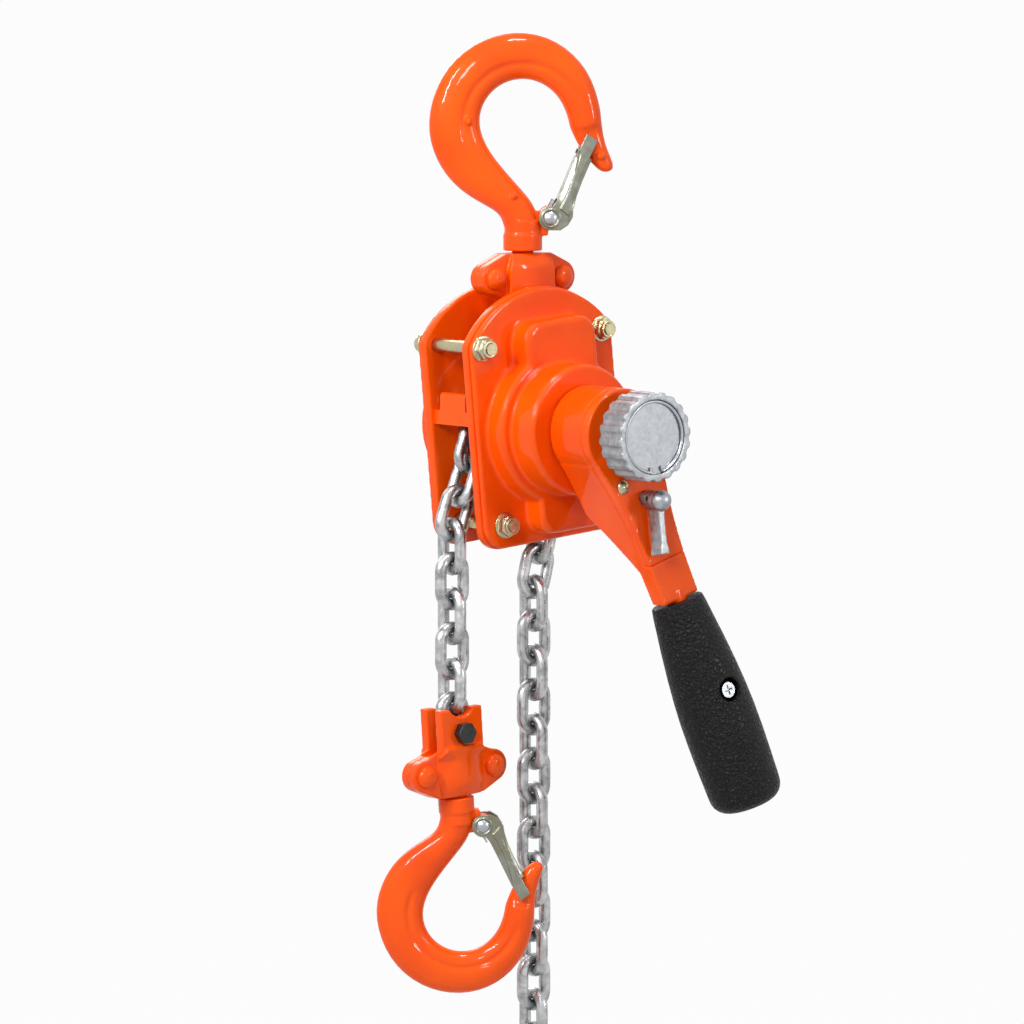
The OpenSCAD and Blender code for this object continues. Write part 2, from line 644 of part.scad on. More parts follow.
// ---- load sheave and its bushes ----
module sheave_bushes() {
    color([0.72, 0.55, 0.3]) on_axle() for (s = [0, 1]) mirror([0, s, 0]) difference() {
        y_rod(bush_r, in_y, out_y);
        y_rod(journal_r + fit, in_y - 1, out_y + 1);
    }
}
load_end_y = inner_gear_y + gear_w + 0.1;
spline_r = 9.2;
pinion_end_r = 3.6;
module load_sheave() {
    color([0.5, 0.5, 0.5]) on_axle() difference() {
        union() {
            for (s = [0, 1]) mirror([0, s, 0]) {
                y_rod(flange_r - 1.6, groove_w / 2, sheave_half);
                y_rod(flange_r, pocket_side + 0.6, sheave_half);
            }
            y_rod(groove_r, -sheave_half, sheave_half);
            y_rod(journal_r, -out_y, inner_gear_y - 0.2);
            y_slab(inner_gear_y - 0.3, load_end_y) circle(r = spline_r, $fn = 12);
        }
        for (i = [0:pockets - 1]) rotate([0, -(wrap_mid(1) + i * pocket_step), 0])
            translate([pocket_floor, 0, 0]) rotate([0, 90, 0]) linear_extrude(20) {
                for (s = [-1, 1]) translate([s * near_eye, 0]) circle(r = pocket_side);
                square([2 * near_eye, 2 * pocket_side], center = true);
            }
        y_rod(shaft_r + air, -out_y - 1, load_end_y + 1);
    }
}
module load_gear() {
    color(steel) on_axle() difference() {
        y_slab(inner_gear_y, inner_gear_y + gear_w) gear_2d(load_n, 90 + body_tilt + 180 / load_n);
        y_slab(inner_gear_y - 1, inner_gear_y + gear_w + 1) circle(r = spline_r + fit, $fn = 12);
    }
}
// Idler: a large wheel driven by the pinion and a small one that drives the load gear
module idler(side) {
    in_frame() translate([0, 0, side * idler_c]) {
        y_slab(outer_gear_y, outer_gear_y + gear_w - 1) gear_2d(idler_n, side * 90 + 180 / idler_n);
        y_slab(inner_gear_y, outer_gear_y) gear_2d(small_n, side * 90);
        y_rod(idler_pin_r, out_y + 0.1, gear_lobe_y - 1);
    }
}
module idler_gear_upper() { color(steel) idler(1); }
module idler_gear_lower() { color(steel) idler(-1); }

// ---- drive shaft and load brake ----
hub_disc_y = [out_y + 0.4, out_y + 3.2];
lining = 2.2;
lining_r = 20;
hub_disc_r = 21;
ratchet_y = [hub_disc_y[1] + lining, hub_disc_y[1] + lining + 3.6];
ratchet_n = 14;
ratchet_r = 26;
changer_y = ratchet_y[1] + lining;
sleeve_y = 52;
changer_n = 16;
changer_r = 16.5;
changer_end = 62;
thread_r = 7.5;
nut_y = 66;
module drive_shaft() {
    color(steel) in_frame() {
        y_rod(shaft_r, -wheel_back - wheel_t + 4, outer_gear_y - 0.4);
        y_slab(outer_gear_y - 0.5, outer_gear_y + gear_w) gear_2d(pinion_n, 90);
        y_rod(pinion_end_r, outer_gear_y, gear_cover_y + 1);
    }
}
module brake_hub() {
    color(steel) in_frame() lever_side() difference() {
        union() {
            y_rod(hub_disc_r, hub_disc_y[0], hub_disc_y[1]);
            y_rod(thread_r, hub_disc_y[0], changer_end - 2);
        }
        y_rod(shaft_r, out_y, changer_end);
    }
}
module friction_discs() {
    color([0.35, 0.27, 0.2]) in_frame() lever_side() for (y = [hub_disc_y[1], ratchet_y[1]]) difference() {
        y_rod(lining_r, y, y + lining);
        y_rod(thread_r, y - 1, y + lining + 1);
    }
}
// Saw-toothed disc held by the pawls
module ratchet_disc() {
    step = 360 / ratchet_n;
    color(steel) in_frame() lever_side() difference() {
        y_slab(ratchet_y[0], ratchet_y[1])
            polygon([for (i = [0:ratchet_n - 1], p = [[0, 22.5], [0.08, ratchet_r]])
                p[1] * [cos((i + p[0]) * step), sin((i + p[0]) * step)]]);
        y_rod(thread_r, ratchet_y[0] - 1, ratchet_y[1] + 1);
    }
}
module changeover_gear() {
    color(steel) in_frame() lever_side() difference() {
        union() {
            y_rod(lining_r, changer_y, changer_y + 3.6);
            y_rod(sleeve_r, changer_y, sleeve_y);
            y_slab(sleeve_y, changer_end) polygon([for (i = [0:2 * changer_n - 1])
                let (a = i * 180 / changer_n, r = i % 2 == 0 ? changer_r : changer_r - 2.6)
                r * [cos(a), sin(a)]]);
        }
        y_rod(thread_r, changer_y - 1, changer_end + 1);
    }
}
module shaft_nut() {
    color(zinc) in_frame() lever_side() difference() {
        y_slab(changer_end + 0.2, nut_y) hexagon(15);
        y_rod(shaft_r, changer_end, nut_y + 1);
    }
}

// ---- brake pawls on their pins ----
module pawl(i, side) {
    color(steel) in_frame() lever_side() translate([pawl_at[i][0], 0, pawl_at[i][1]]) difference() {
        y_slab(ratchet_y[0] + 0.2, ratchet_y[1] - 0.2) {
            circle(r = 4.6);
            scale([1, side])
                polygon([[-3, 3.4], [-12, -6], [-16, -12.2], [-15.5, -13], [-8.5, -8.6], [1, -4.5]]);
        }
        y_rod(pawl_pin_r + fit, out_y, bulge_y);
    }
}
module pawl_upper() { pawl(0, 1); }
module pawl_lower() { pawl(1, -1); }
module pawl_pins() {
    color(steel) in_frame() lever_side() for (p = pawl_at) translate([p[0], 0, p[1]]) {
        y_rod(pawl_pin_r, in_y, bulge_y - cover_wall);
        difference() {
            y_rod(3.8, out_y, ratchet_y[0]);
            y_rod(pawl_pin_r, out_y - 1, ratchet_y[0] + 1);
        }
    }
}

// ---- hand wheel with its plate and snap ring ----
plate_recess = 2.6;
face_r = wheel_r - 3.2;
wheel_front = wheel_back + wheel_t;
module hand_wheel() {
    color(steel) in_frame() lever_side() difference() {
        union() {
            y_rod(wheel_r, wheel_back, wheel_front);
            y_rod(8, nut_y + 0.3, wheel_back + 1);
        }
        for (i = [0:wheel_scallops - 1]) rotate([0, (i + 0.5) * 360 / wheel_scallops, 0])
            translate([wheel_r + 1.7, 0, 0]) y_rod(2.6, wheel_back - 1, wheel_front + 1);
        y_rod(face_r, wheel_front - plate_recess, wheel_front + 1);
        y_rod(shaft_r, nut_y, wheel_front);
    }
}
module wheel_face_plate() {
    color([0.75, 0.77, 0.8]) in_frame() lever_side()
        y_rod(face_r - 0.1, wheel_front - plate_recess, wheel_front - plate_recess + 0.8);
}
module wheel_snap_ring() {
    wire = 0.7;
    ring_r = face_r - wire - 0.05;
    y = wheel_front - plate_recess + 0.8 + wire;
    color(steel) in_frame() translate([0, -y, 0]) rotate([90, 0, 0]) {
        rotate([0, 0, -78]) rotate_extrude(angle = 336) translate([ring_r, 0]) circle(r = wire, $fn = 16);
        for (a = [-78, -102]) rotate([0, 0, a]) translate([ring_r - 2.2, 0, 0])
            rotate([0, 90, 0]) cylinder(r = wire, h = 2.2, $fn = 16);
    }
}

// ---- lever; local -Z runs down the arm ----
cover_y = 66;
lean_slope = tan(lever_lean);
arm_face = function (z) hub_front + lean_slope * (-z - 5);
grip_y = arm_face(-grip_start) - arm_t / 2;
tang_r = 4.5;
waist = 60;
module on_lever() { on_axle() rotate([0, -lever_swing, 0]) lever_side() children(); }
// Half width of the arm, wide at the hub and straight below the waist
function arm_half(z) = arm_w / 2 + 8 * pow(max(0, 1 + (z + 9) / (waist - 9)), 2);
module lever_outline_2d(low) {
    circle(r = hub_r);
    steps = 12;
    zs = [for (i = [0:steps]) -9 - (waist - 9) * i / steps];
    polygon([for (i = [0:steps]) [-arm_half(zs[i]), zs[i]], [-arm_w / 2, low], [arm_w / 2, low],
        for (i = [steps:-1:0]) [arm_half(zs[i]), zs[i]]]);
}
// Side profile in Y and Z, given width along X
module side_slab(half) { translate([-half, 0, 0]) rotate([90, 0, 90]) linear_extrude(2 * half) children(); }
module lever_side_2d() {
    polygon([[hub_back, hub_r + 1], [hub_back, -34], [arm_face(-waist) - arm_t - 1, -waist],
        [arm_face(-grip_start) - arm_t, -grip_start], [arm_face(-grip_start), -grip_start],
        [hub_front, -5], [hub_front, hub_r + 1]]);
}
split_z = -56;
module lever_solid() {
    intersection() {
        y_slab(hub_back, hub_front + 20) lever_outline_2d(-grip_start);
        side_slab(hub_r + 5) lever_side_2d();
    }
}
lever_screw_at = [[-9.2, -20.5], [9.2, -20.5], [0, -46]];
module cover_region() {
    side_slab(hub_r + 5) polygon([[cover_y, hub_r + 1], [cover_y, -5], [cover_y + lean_slope * 51, split_z],
        [cover_y + 30, split_z], [cover_y + 30, hub_r + 1]]);
}
module lever_body() {
    color(orange) on_lever() difference() {
        union() {
            difference() {
                lever_solid();
                cover_region();
            }
            translate([0, grip_y, -grip_start]) rotate([lever_lean, 0, 0])
                translate([0, 0, -grip_len * 0.6]) cylinder(r = tang_r, h = grip_len * 0.6 + 3);
        }
        y_rod(hub_r - 2, hub_back + 4, cover_y + 1);
        y_rod(sleeve_r + fit, hub_back - 1, hub_back + 5);
        y_slab(50, cover_y + 6) rounded(-6.4, -38, 6.4, -8, 2);
        for (p = lever_screw_at) translate([p[0], 0, p[1]]) y_rod(1.8, 57, cover_y + 20);
        rotate([0, lever_swing, 0]) translate([0, 51, 10]) {
            for (x = [-1.5, 1.5]) translate([x, 0, 0]) cylinder(r = 1, h = 12);
            translate([-1.5, -1, 0]) cube([3, 2, 12]);
        }
    }
}
module lever_cover() {
    color(orange) on_lever() difference() {
        intersection() {
            lever_solid();
            cover_region();
        }
        y_rod(9, cover_y - 1, hub_front + 1);
        for (p = lever_screw_at) translate([p[0], 0, p[1]]) y_rod(1.8, cover_y - 1, cover_y + 20);
        translate([0, 0, -selector_at]) y_rod(3 + fit, cover_y - 1, hub_front + 10);
    }
}
module lever_screws() {
    color(zinc) on_lever() for (p = lever_screw_at) translate([p[0], 0, p[1]]) {
        seat = arm_face(p[1]) + 3 * lean_slope + 0.03;
        y_rod(1.8, 57, seat);
        translate([0, seat, 0]) rotate([-90, 0, 0]) difference() {
            dome(3, 1.4);
            for (t = [0, 90]) rotate(t) translate([-1.7, -0.35, 0.7]) cube([3.4, 0.7, 2]);
        }
    }
}
module lever_grip() {
    color(dark) on_lever() translate([0, grip_y, -grip_start]) rotate([lever_lean, 0, 0]) difference() {
        rotate([180, 0, 0]) rotate_extrude() polygon([[tang_r, 1], [11.6, 1],
            for (i = [1:12]) let (t = i / 13)
                [11.6 + (grip_d / 2 - 11.6) * sin(min(1, t * 1.35) * 90), grip_len * t],
            for (a = [0:15:75]) [grip_d / 2 - 7 + 7 * cos(a) - 0.5, grip_len - 7 + 7 * sin(a)], [8, grip_len],
            [0, grip_len], [0, grip_len * 0.6], [tang_r, grip_len * 0.6]]);
        translate([0, 8, -grip_len * 0.45]) rotate([-90, 0, 0]) cylinder(r = 3.4, h = 20);
        translate([0, 3, -grip_len * 0.45]) rotate([-90, 0, 0]) cylinder(r = 1.8, h = 20);
    }
}
module grip_screw() {
    color(steel) on_lever() translate([0, grip_y, -grip_start]) rotate([lever_lean, 0, 0])
        translate([0, tang_r, -grip_len * 0.45]) rotate([-90, 0, 0]) difference() {
            union() {
                cylinder(r = 1.8, h = 7);
                translate([0, 0, 5]) cylinder(r = 3.3, h = 4.4);
            }
            for (t = [0, 90]) rotate(t) translate([-2, -0.4, 8]) cube([4, 0.8, 3]);
        }
}

// ---- selector and the change-over pawl that it turns ----
knob_y = 76.8;
module on_selector() { on_lever() translate([0, 0, -selector_at]) rotate([0, lever_swing, 0]) children(); }
module selector_knob() {
    color(steel) on_selector() {
        y_rod(3, 53, knob_y + 1);
        y_rod(4.6, knob_y, knob_y + 8);
        translate([0, knob_y + 8, 0]) rotate([-90, 0, 0]) dome(4.4, 3.6);
        translate([0, knob_y, 0]) rotate([lever_lean, 0, 0]) y_slab(0, 8) rounded(-1.8, -23.5, 1.8, 1, 1.2);
    }
}
module changeover_pawl() {
    color(steel) on_lever() translate([0, 0, -selector_at]) difference() {
        y_slab(53, 62) {
            circle(r = 5);
            polygon([[-4.4, 0], [-4, 8], [-3.4, 11], [-1.6, 9], [1.6, 9], [3.4, 11], [4, 8], [4.4, 0]]);
        }
        y_rod(3, 52, 63);
    }
}

top_hook();
top_hook_latch();
top_latch_pin();
top_latch_spring();
top_yoke_front();
top_yoke_rear();
top_yoke_rivets();
suspension_pin();
front_side_plate();
rear_side_plate();
stay_bolts();
stay_nuts();
chain_stripper();
chain_guide();
brake_cover();
gear_cover();
gear_cover_screws();
sheave_bushes();
load_sheave();
wrapped_chain();
load_gear();
idler_gear_upper();
idler_gear_lower();
drive_shaft();
brake_hub();
friction_discs();
ratchet_disc();
changeover_gear();
shaft_nut();
pawl_upper();
pawl_lower();
pawl_pins();
hand_wheel();
wheel_face_plate();
wheel_snap_ring();
lever_body();
lever_cover();
lever_screws();
lever_grip();
grip_screw();
selector_knob();
changeover_pawl();
load_chain_upper();
load_chain_lower();
tail_chain_upper();
tail_chain_lower();
bottom_yoke_front();
bottom_yoke_rear();
bottom_yoke_rivets();
chain_bolt();
chain_bolt_nut();
bottom_hook();
bottom_hook_latch();
bottom_latch_pin();
bottom_latch_spring();
end_ring();
end_ring_bolt();
end_ring_nut();
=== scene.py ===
# %% [markdown]
# # A small lever chain hoist
# The hoist hangs by its top hook. A hand lever turns a ratchet brake, gears and a pocketed sheave,
# and the sheave draws the load chain up. The moving model is already made in CAD. This lesson puts
# a camera and soft light round it, gives each part its finish, and models again, with the tools of
# edit mode, the forged, cast and moulded parts whose shape is softer than the CAD solid.

# %% Load the frame
import json
import math

import bmesh
import bpy
from mathutils import Matrix, Vector


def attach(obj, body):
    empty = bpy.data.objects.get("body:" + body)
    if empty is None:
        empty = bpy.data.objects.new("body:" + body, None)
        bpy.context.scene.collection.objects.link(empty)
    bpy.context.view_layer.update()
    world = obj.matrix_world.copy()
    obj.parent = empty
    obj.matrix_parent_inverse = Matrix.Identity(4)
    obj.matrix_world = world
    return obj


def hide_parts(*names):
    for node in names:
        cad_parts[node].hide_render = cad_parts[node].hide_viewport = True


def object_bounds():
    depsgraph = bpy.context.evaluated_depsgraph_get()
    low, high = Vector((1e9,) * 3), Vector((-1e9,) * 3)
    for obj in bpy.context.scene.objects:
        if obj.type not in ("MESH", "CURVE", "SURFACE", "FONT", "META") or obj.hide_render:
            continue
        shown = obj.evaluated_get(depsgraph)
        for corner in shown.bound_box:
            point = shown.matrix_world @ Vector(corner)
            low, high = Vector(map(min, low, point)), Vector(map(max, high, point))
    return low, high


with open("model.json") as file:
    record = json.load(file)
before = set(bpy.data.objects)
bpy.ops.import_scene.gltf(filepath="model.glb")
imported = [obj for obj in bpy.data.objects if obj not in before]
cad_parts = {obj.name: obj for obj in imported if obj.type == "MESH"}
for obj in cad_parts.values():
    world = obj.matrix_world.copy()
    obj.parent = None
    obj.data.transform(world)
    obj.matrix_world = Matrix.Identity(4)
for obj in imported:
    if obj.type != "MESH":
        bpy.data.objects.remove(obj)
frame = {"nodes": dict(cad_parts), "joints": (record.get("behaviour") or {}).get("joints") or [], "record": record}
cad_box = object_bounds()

MM = 0.001
nodes = frame["nodes"]
print("nodes", len(nodes), "box", [tuple(round(v, 3) for v in corner) for corner in cad_box])

# %% [markdown]
# ## Camera
# The hoist is looked at from its lever side, a little round towards the load chain and a little from
# above. A long lens far away keeps the plates' edges parallel, as a catalogue picture does. The slack
# chain runs on below the picture.

# %% Camera
CAMERA_AZIMUTH = math.radians(-37.4)
CAMERA_ELEVATION = math.radians(5.2)
CAMERA_DISTANCE = 3.0
VIEW_HEIGHT = 0.44
SENSOR_WIDTH = 36
FAR_CLIP = 300
VIEW_CENTRE = Vector((-0.0058, 0, -0.1863))

bpy.ops.object.select_all(action="DESELECT")
away = Vector((math.sin(CAMERA_AZIMUTH) * math.cos(CAMERA_ELEVATION),
               -math.cos(CAMERA_AZIMUTH) * math.cos(CAMERA_ELEVATION), math.sin(CAMERA_ELEVATION)))
bpy.ops.object.camera_add(location=VIEW_CENTRE + away * CAMERA_DISTANCE)
camera = bpy.context.object
camera.rotation_euler = away.to_track_quat("Z", "Y").to_euler()
camera.data.sensor_width = SENSOR_WIDTH
camera.data.lens = camera.data.sensor_width * CAMERA_DISTANCE / VIEW_HEIGHT
camera.data.clip_end = FAR_CLIP
bpy.context.scene.camera = camera
print("lens", round(camera.data.lens, 1), "mm at", CAMERA_DISTANCE, "m")

# %% [markdown]
# ## Light and floor
# Glossy paint and zinc show what stands round them, so the lamps are large soft boxes: one on the
# camera's left, a weaker one on its right, one overhead and one behind. A small one near the camera
# draws a second bright pane on the drum. Seen straight on or in a mirror, the world is white, but it
# gives the object little light.

# %% World
WORLD_SEEN = 1.0
WORLD_LIGHT = 0.22


def seen_directly(tree):
    """One for a ray from the camera, off a mirror or through glass, nought for a diffuse one."""
    path = tree.nodes.new("ShaderNodeLightPath")
    total = path.outputs["Is Camera Ray"]
    for name in ("Is Glossy Ray", "Is Transmission Ray"):
        larger = tree.nodes.new("ShaderNodeMath")
        larger.operation = "MAXIMUM"
        tree.links.new(total, larger.inputs[0])
        tree.links.new(path.outputs[name], larger.inputs[1])
        total = larger.outputs[0]
    return total


world = bpy.data.worlds.new("studio")
bpy.context.scene.world = world
world.use_nodes = True
tree = world.node_tree
tree.nodes.clear()
out = tree.nodes.new("ShaderNodeOutputWorld")
seen = tree.nodes.new("ShaderNodeBackground")
seen.inputs["Color"].default_value = (1, 1, 1, 1)
seen.inputs["Strength"].default_value = WORLD_SEEN
dim = tree.nodes.new("ShaderNodeBackground")
dim.inputs["Color"].default_value = (0.9, 0.94, 1, 1)
dim.inputs["Strength"].default_value = WORLD_LIGHT
mix = tree.nodes.new("ShaderNodeMixShader")
tree.links.new(seen_directly(tree), mix.inputs[0])
tree.links.new(dim.outputs[0], mix.inputs[1])
tree.links.new(seen.outputs[0], mix.inputs[2])
tree.links.new(mix.outputs[0], out.inputs["Surface"])
bpy.context.scene.view_settings.view_transform = "Standard"

# %% Lamps
BODY_MIDDLE = Vector((0, -0.02, -0.2))


def softbox(name, azimuth, elevation, distance, size, watts):
    """A rectangular area lamp that looks at the middle of the hoist."""
    a, e = math.radians(azimuth), math.radians(elevation)
    side = Vector((math.sin(a) * math.cos(e), -math.cos(a) * math.cos(e), math.sin(e)))
    bpy.ops.object.light_add(type="AREA", location=BODY_MIDDLE + side * distance)
    lamp = bpy.context.object
    lamp.name = name
    lamp.rotation_euler = side.to_track_quat("Z", "Y").to_euler()
    lamp.data.shape = "RECTANGLE"
    lamp.data.size, lamp.data.size_y = size
    lamp.data.energy = watts


# Name, azimuth and elevation in degrees, distance and size in metres, and power in watts
LAMPS = [("key", -82, 30, 1.3, (0.12, 0.5), 12), ("fill", 24, 14, 1.5, (0.1, 0.4), 5.5),
         ("top", -24, 72, 1.3, (0.24, 0.08), 6.5), ("rear", 165, 30, 1.5, (0.6, 0.9), 8),
         ("window", -52, 26, 1.6, (0.16, 0.3), 5)]
for lamp_values in LAMPS:
    softbox(*lamp_values)

# %% [markdown]
# ## Finishes
# Each finish is a material of its own: a shader, noises that vary its colour or its roughness, and a
# bump where the real surface has one. The patterns read Object coordinates, so they stay on the piece.

# %% Helpers for finishes
finishes = {}


def shader(name, colour, roughness, metallic=0.0, coat=0.0):
    """A new material with its constants on the shader's own sockets."""
    material = bpy.data.materials.new(name)
    material.use_nodes = True
    surface = material.node_tree.nodes["Principled BSDF"]
    surface.inputs["Base Color"].default_value = (*colour, 1)
    surface.inputs["Roughness"].default_value = roughness
    surface.inputs["Metallic"].default_value = metallic
    surface.inputs["Coat Weight"].default_value = coat
    material.diffuse_color = (*colour, 1)
    finishes[name] = material
    return material, material.node_tree, surface


def noise(tree, scale, detail=2.0, distortion=0.0):
    """Noise on the piece's own Object coordinates."""
    place = tree.nodes.new("ShaderNodeTexCoord")
    texture = tree.nodes.new("ShaderNodeTexNoise")
    texture.inputs["Scale"].default_value = scale
    texture.inputs["Detail"].default_value = detail
    texture.inputs["Distortion"].default_value = distortion
    tree.links.new(place.outputs["Object"], texture.inputs["Vector"])
    return texture


def ramp(tree, source, low, high, start=0.35, end=0.65):
    """Turns a grey value into a blend of two colours or two levels."""
    blend = tree.nodes.new("ShaderNodeValToRGB")
    blend.color_ramp.elements[0].position = start
    blend.color_ramp.elements[1].position = end
    low, high = [(v, v, v) if isinstance(v, (int, float)) else v for v in (low, high)]
    blend.color_ramp.elements[0].color = (*low, 1)
    blend.color_ramp.elements[1].color = (*high, 1)
    tree.links.new(source, blend.inputs["Fac"])
    return blend.outputs["Color"]


def bump(tree, surface, height, distance, strength=1.0):
    """Raises the shading normal by a height pattern."""
    node = tree.nodes.new("ShaderNodeBump")
    node.inputs["Distance"].default_value = distance
    node.inputs["Strength"].default_value = strength
    tree.links.new(height, node.inputs["Height"])
    tree.links.new(node.outputs["Normal"], surface.inputs["Normal"])


# %% [markdown]
# ### Orange powder coat
# The forged and pressed parts wear a thick gloss orange. It is a plain saturated colour under a clear
# coat, with the faint orange-peel that powder leaves as it melts, and slightly deeper where it pooled.

# %% Orange powder coat
_, tree, surface = shader("orange_paint", (0.93, 0.086, 0.001), 0.35, coat=0.36)
surface.inputs["Coat Roughness"].default_value = 0.025
surface.inputs["Specular IOR Level"].default_value = 0.05
pooled = noise(tree, 38, 3)
tree.links.new(ramp(tree, pooled.outputs["Fac"], (0.9, 0.076, 0.0006), (0.97, 0.098, 0.001)),
               surface.inputs["Base Color"])
peel = noise(tree, 620, 1.5)
bump(tree, surface, peel.outputs["Fac"], 0.00005, 0.22)
print("orange paint made")

# %% [markdown]
# ### Zinc finishes
# Nuts and stays are plated and passivated yellow, a straw colour with greenish clouds. The latches
# have the same plating on brushed sheet, duller and darker. Screws, pins and the wheel's disc are
# bright zinc, with the fine spangle of plating.

# %% Zinc finishes
_, tree, surface = shader("zinc_yellow", (0.5, 0.44, 0.26), 0.3, metallic=1.0)
clouds = noise(tree, 140, 3, 0.6)
tree.links.new(ramp(tree, clouds.outputs["Fac"], (0.56, 0.47, 0.25), (0.44, 0.43, 0.33), 0.3, 0.7),
               surface.inputs["Base Color"])
tree.links.new(ramp(tree, noise(tree, 420, 3).outputs["Fac"], 0.22, 0.36), surface.inputs["Roughness"])

_, tree, surface = shader("bright_zinc", (0.66, 0.68, 0.7), 0.3, metallic=1.0)
spangle = noise(tree, 330, 4, 1.2)
tree.links.new(ramp(tree, spangle.outputs["Fac"], (0.36, 0.38, 0.41), (0.46, 0.47, 0.49), 0.2, 0.8),
               surface.inputs["Base Color"])
tree.links.new(ramp(tree, noise(tree, 700, 2).outputs["Fac"], 0.28, 0.38), surface.inputs["Roughness"])

_, tree, surface = shader("brushed_zinc", (0.26, 0.26, 0.21), 0.4, metallic=1.0)
brushed = noise(tree, 120, 3, 0.8)
tree.links.new(ramp(tree, brushed.outputs["Fac"], (0.21, 0.2, 0.14), (0.3, 0.32, 0.28), 0.3, 0.7),
               surface.inputs["Base Color"])
tree.links.new(ramp(tree, noise(tree, 500, 3).outputs["Fac"], 0.28, 0.46), surface.inputs["Roughness"])
bump(tree, surface, noise(tree, 800, 2, 2.0).outputs["Fac"], 0.00006, 0.3)
print("zinc finishes made")

# %% [markdown]
# ### Steel of the chain, castings and gears
# The chain is galvanised, dull with brighter rubbed places. The hand wheel, the selector and the
# sheave are castings under zinc, with a grainy skin. The gears and brake parts are darker, machined.

# %% Steel finishes
_, tree, surface = shader("chain_steel", (0.5, 0.51, 0.52), 0.36, metallic=1.0)
tree.links.new(ramp(tree, noise(tree, 190, 4, 0.8).outputs["Fac"], (0.3, 0.305, 0.31), (0.56, 0.565, 0.57)),
               surface.inputs["Base Color"])
tree.links.new(ramp(tree, noise(tree, 520, 3).outputs["Fac"], 0.24, 0.5), surface.inputs["Roughness"])
bump(tree, surface, noise(tree, 900, 3).outputs["Fac"], 0.00008, 0.25)

_, tree, surface = shader("cast_silver", (0.55, 0.57, 0.6), 0.42, metallic=1.0)
tree.links.new(ramp(tree, noise(tree, 260, 5, 0.7).outputs["Fac"], (0.27, 0.29, 0.31), (0.42, 0.435, 0.45)),
               surface.inputs["Base Color"])
tree.links.new(ramp(tree, noise(tree, 620, 3).outputs["Fac"], 0.32, 0.55), surface.inputs["Roughness"])
bump(tree, surface, noise(tree, 1300, 3).outputs["Fac"], 0.0001, 0.35)

_, tree, surface = shader("gear_steel", (0.34, 0.34, 0.35), 0.35, metallic=1.0)
tree.links.new(ramp(tree, noise(tree, 300, 3).outputs["Fac"], 0.26, 0.45), surface.inputs["Roughness"])

_, tree, surface = shader("bronze", (0.6, 0.36, 0.14), 0.36, metallic=1.0)
tree.links.new(ramp(tree, noise(tree, 240, 3).outputs["Fac"], (0.52, 0.3, 0.11), (0.66, 0.42, 0.18)),
               surface.inputs["Base Color"])

_, tree, surface = shader("friction", (0.09, 0.06, 0.04), 0.85)
tree.links.new(ramp(tree, noise(tree, 900, 2).outputs["Fac"], (0.06, 0.04, 0.03), (0.16, 0.11, 0.07)),
               surface.inputs["Base Color"])

_, tree, surface = shader("black_bolt", (0.012, 0.012, 0.014), 0.3, metallic=0.2, coat=0.2)
tree.links.new(ramp(tree, noise(tree, 500, 3).outputs["Fac"], 0.22, 0.42), surface.inputs["Roughness"])
print("steel finishes made")

# %% [markdown]
# ### Rubber of the grip
# The grip is moulded in a mould with a leather grain: small cells about two millimetres across, with
# fine valleys between them. A cell pattern, warped by a noise so that no edge runs straight, gives it.

# %% Rubber
WANDER = 0.0022
_, tree, surface = shader("grip_rubber", (0.004, 0.004, 0.0045), 0.5)
surface.inputs["Specular IOR Level"].default_value = 0.2
warp = noise(tree, 330, 2, 1.6)
cells = tree.nodes.new("ShaderNodeTexVoronoi")
cells.feature = "DISTANCE_TO_EDGE"
cells.inputs["Scale"].default_value = 430
place = tree.nodes.new("ShaderNodeTexCoord")
shift = tree.nodes.new("ShaderNodeVectorMath")
shift.operation = "MULTIPLY_ADD"
shift.inputs[1].default_value = (WANDER, WANDER, WANDER)
tree.links.new(warp.outputs["Color"], shift.inputs[0])
tree.links.new(place.outputs["Object"], shift.inputs[2])
tree.links.new(shift.outputs[0], cells.inputs["Vector"])
grain = ramp(tree, cells.outputs["Distance"], 0.0, 1.0, 0.0, 0.28)
bump(tree, surface, grain, 0.0006, 0.9)
tree.links.new(ramp(tree, grain, 0.6, 0.34, 0.0, 1.0), surface.inputs["Roughness"])
print("finishes", len(finishes))

# %% Finish of every CAD node
# Each node takes the finish named by its slot, but the guide is painted with the frame
slot_of = {part["node"]: part["material_slot"] for part in frame["record"]["subparts"]}
for name, node in nodes.items():
    node.data.materials.clear()
    node.data.materials.append(finishes[slot_of[name]])
nodes["chain_guide"].data.materials[0] = finishes["orange_paint"]
print("nodes given a finish", len(nodes))

# %% [markdown]
# ## Rounded copies of the cast and pressed parts
# A forging or a casting has no sharp edge: every corner is rounded and every inner corner is filled,
# then the thick paint rounds it more. Bevelling each edge by hand would take long where many curved
# faces meet. Instead a copy of the CAD solid is welded, covered with an even skin of small squares by
# the Remesh modifier, and relaxed a few times. Corners sink, hollows fill, and flat faces stay flat.

# %% Helpers for rounded copies
MOST_FACES = 60000


def activate(piece):
    """Selects one piece alone and makes it active."""
    if bpy.context.object and bpy.context.object.mode != "OBJECT":
        bpy.ops.object.mode_set(mode="OBJECT")
    bpy.ops.object.select_all(action="DESELECT")
    piece.select_set(True)
    bpy.context.view_layer.objects.active = piece


def weld(piece, reach=0.002 * MM):
    """Merges doubled points and turns every face outwards."""
    activate(piece)
    bpy.ops.object.mode_set(mode="EDIT")
    bpy.ops.mesh.select_all(action="SELECT")
    bpy.ops.mesh.remove_doubles(threshold=reach)
    bpy.ops.mesh.normals_make_consistent(inside=False)
    bpy.ops.object.mode_set(mode="OBJECT")


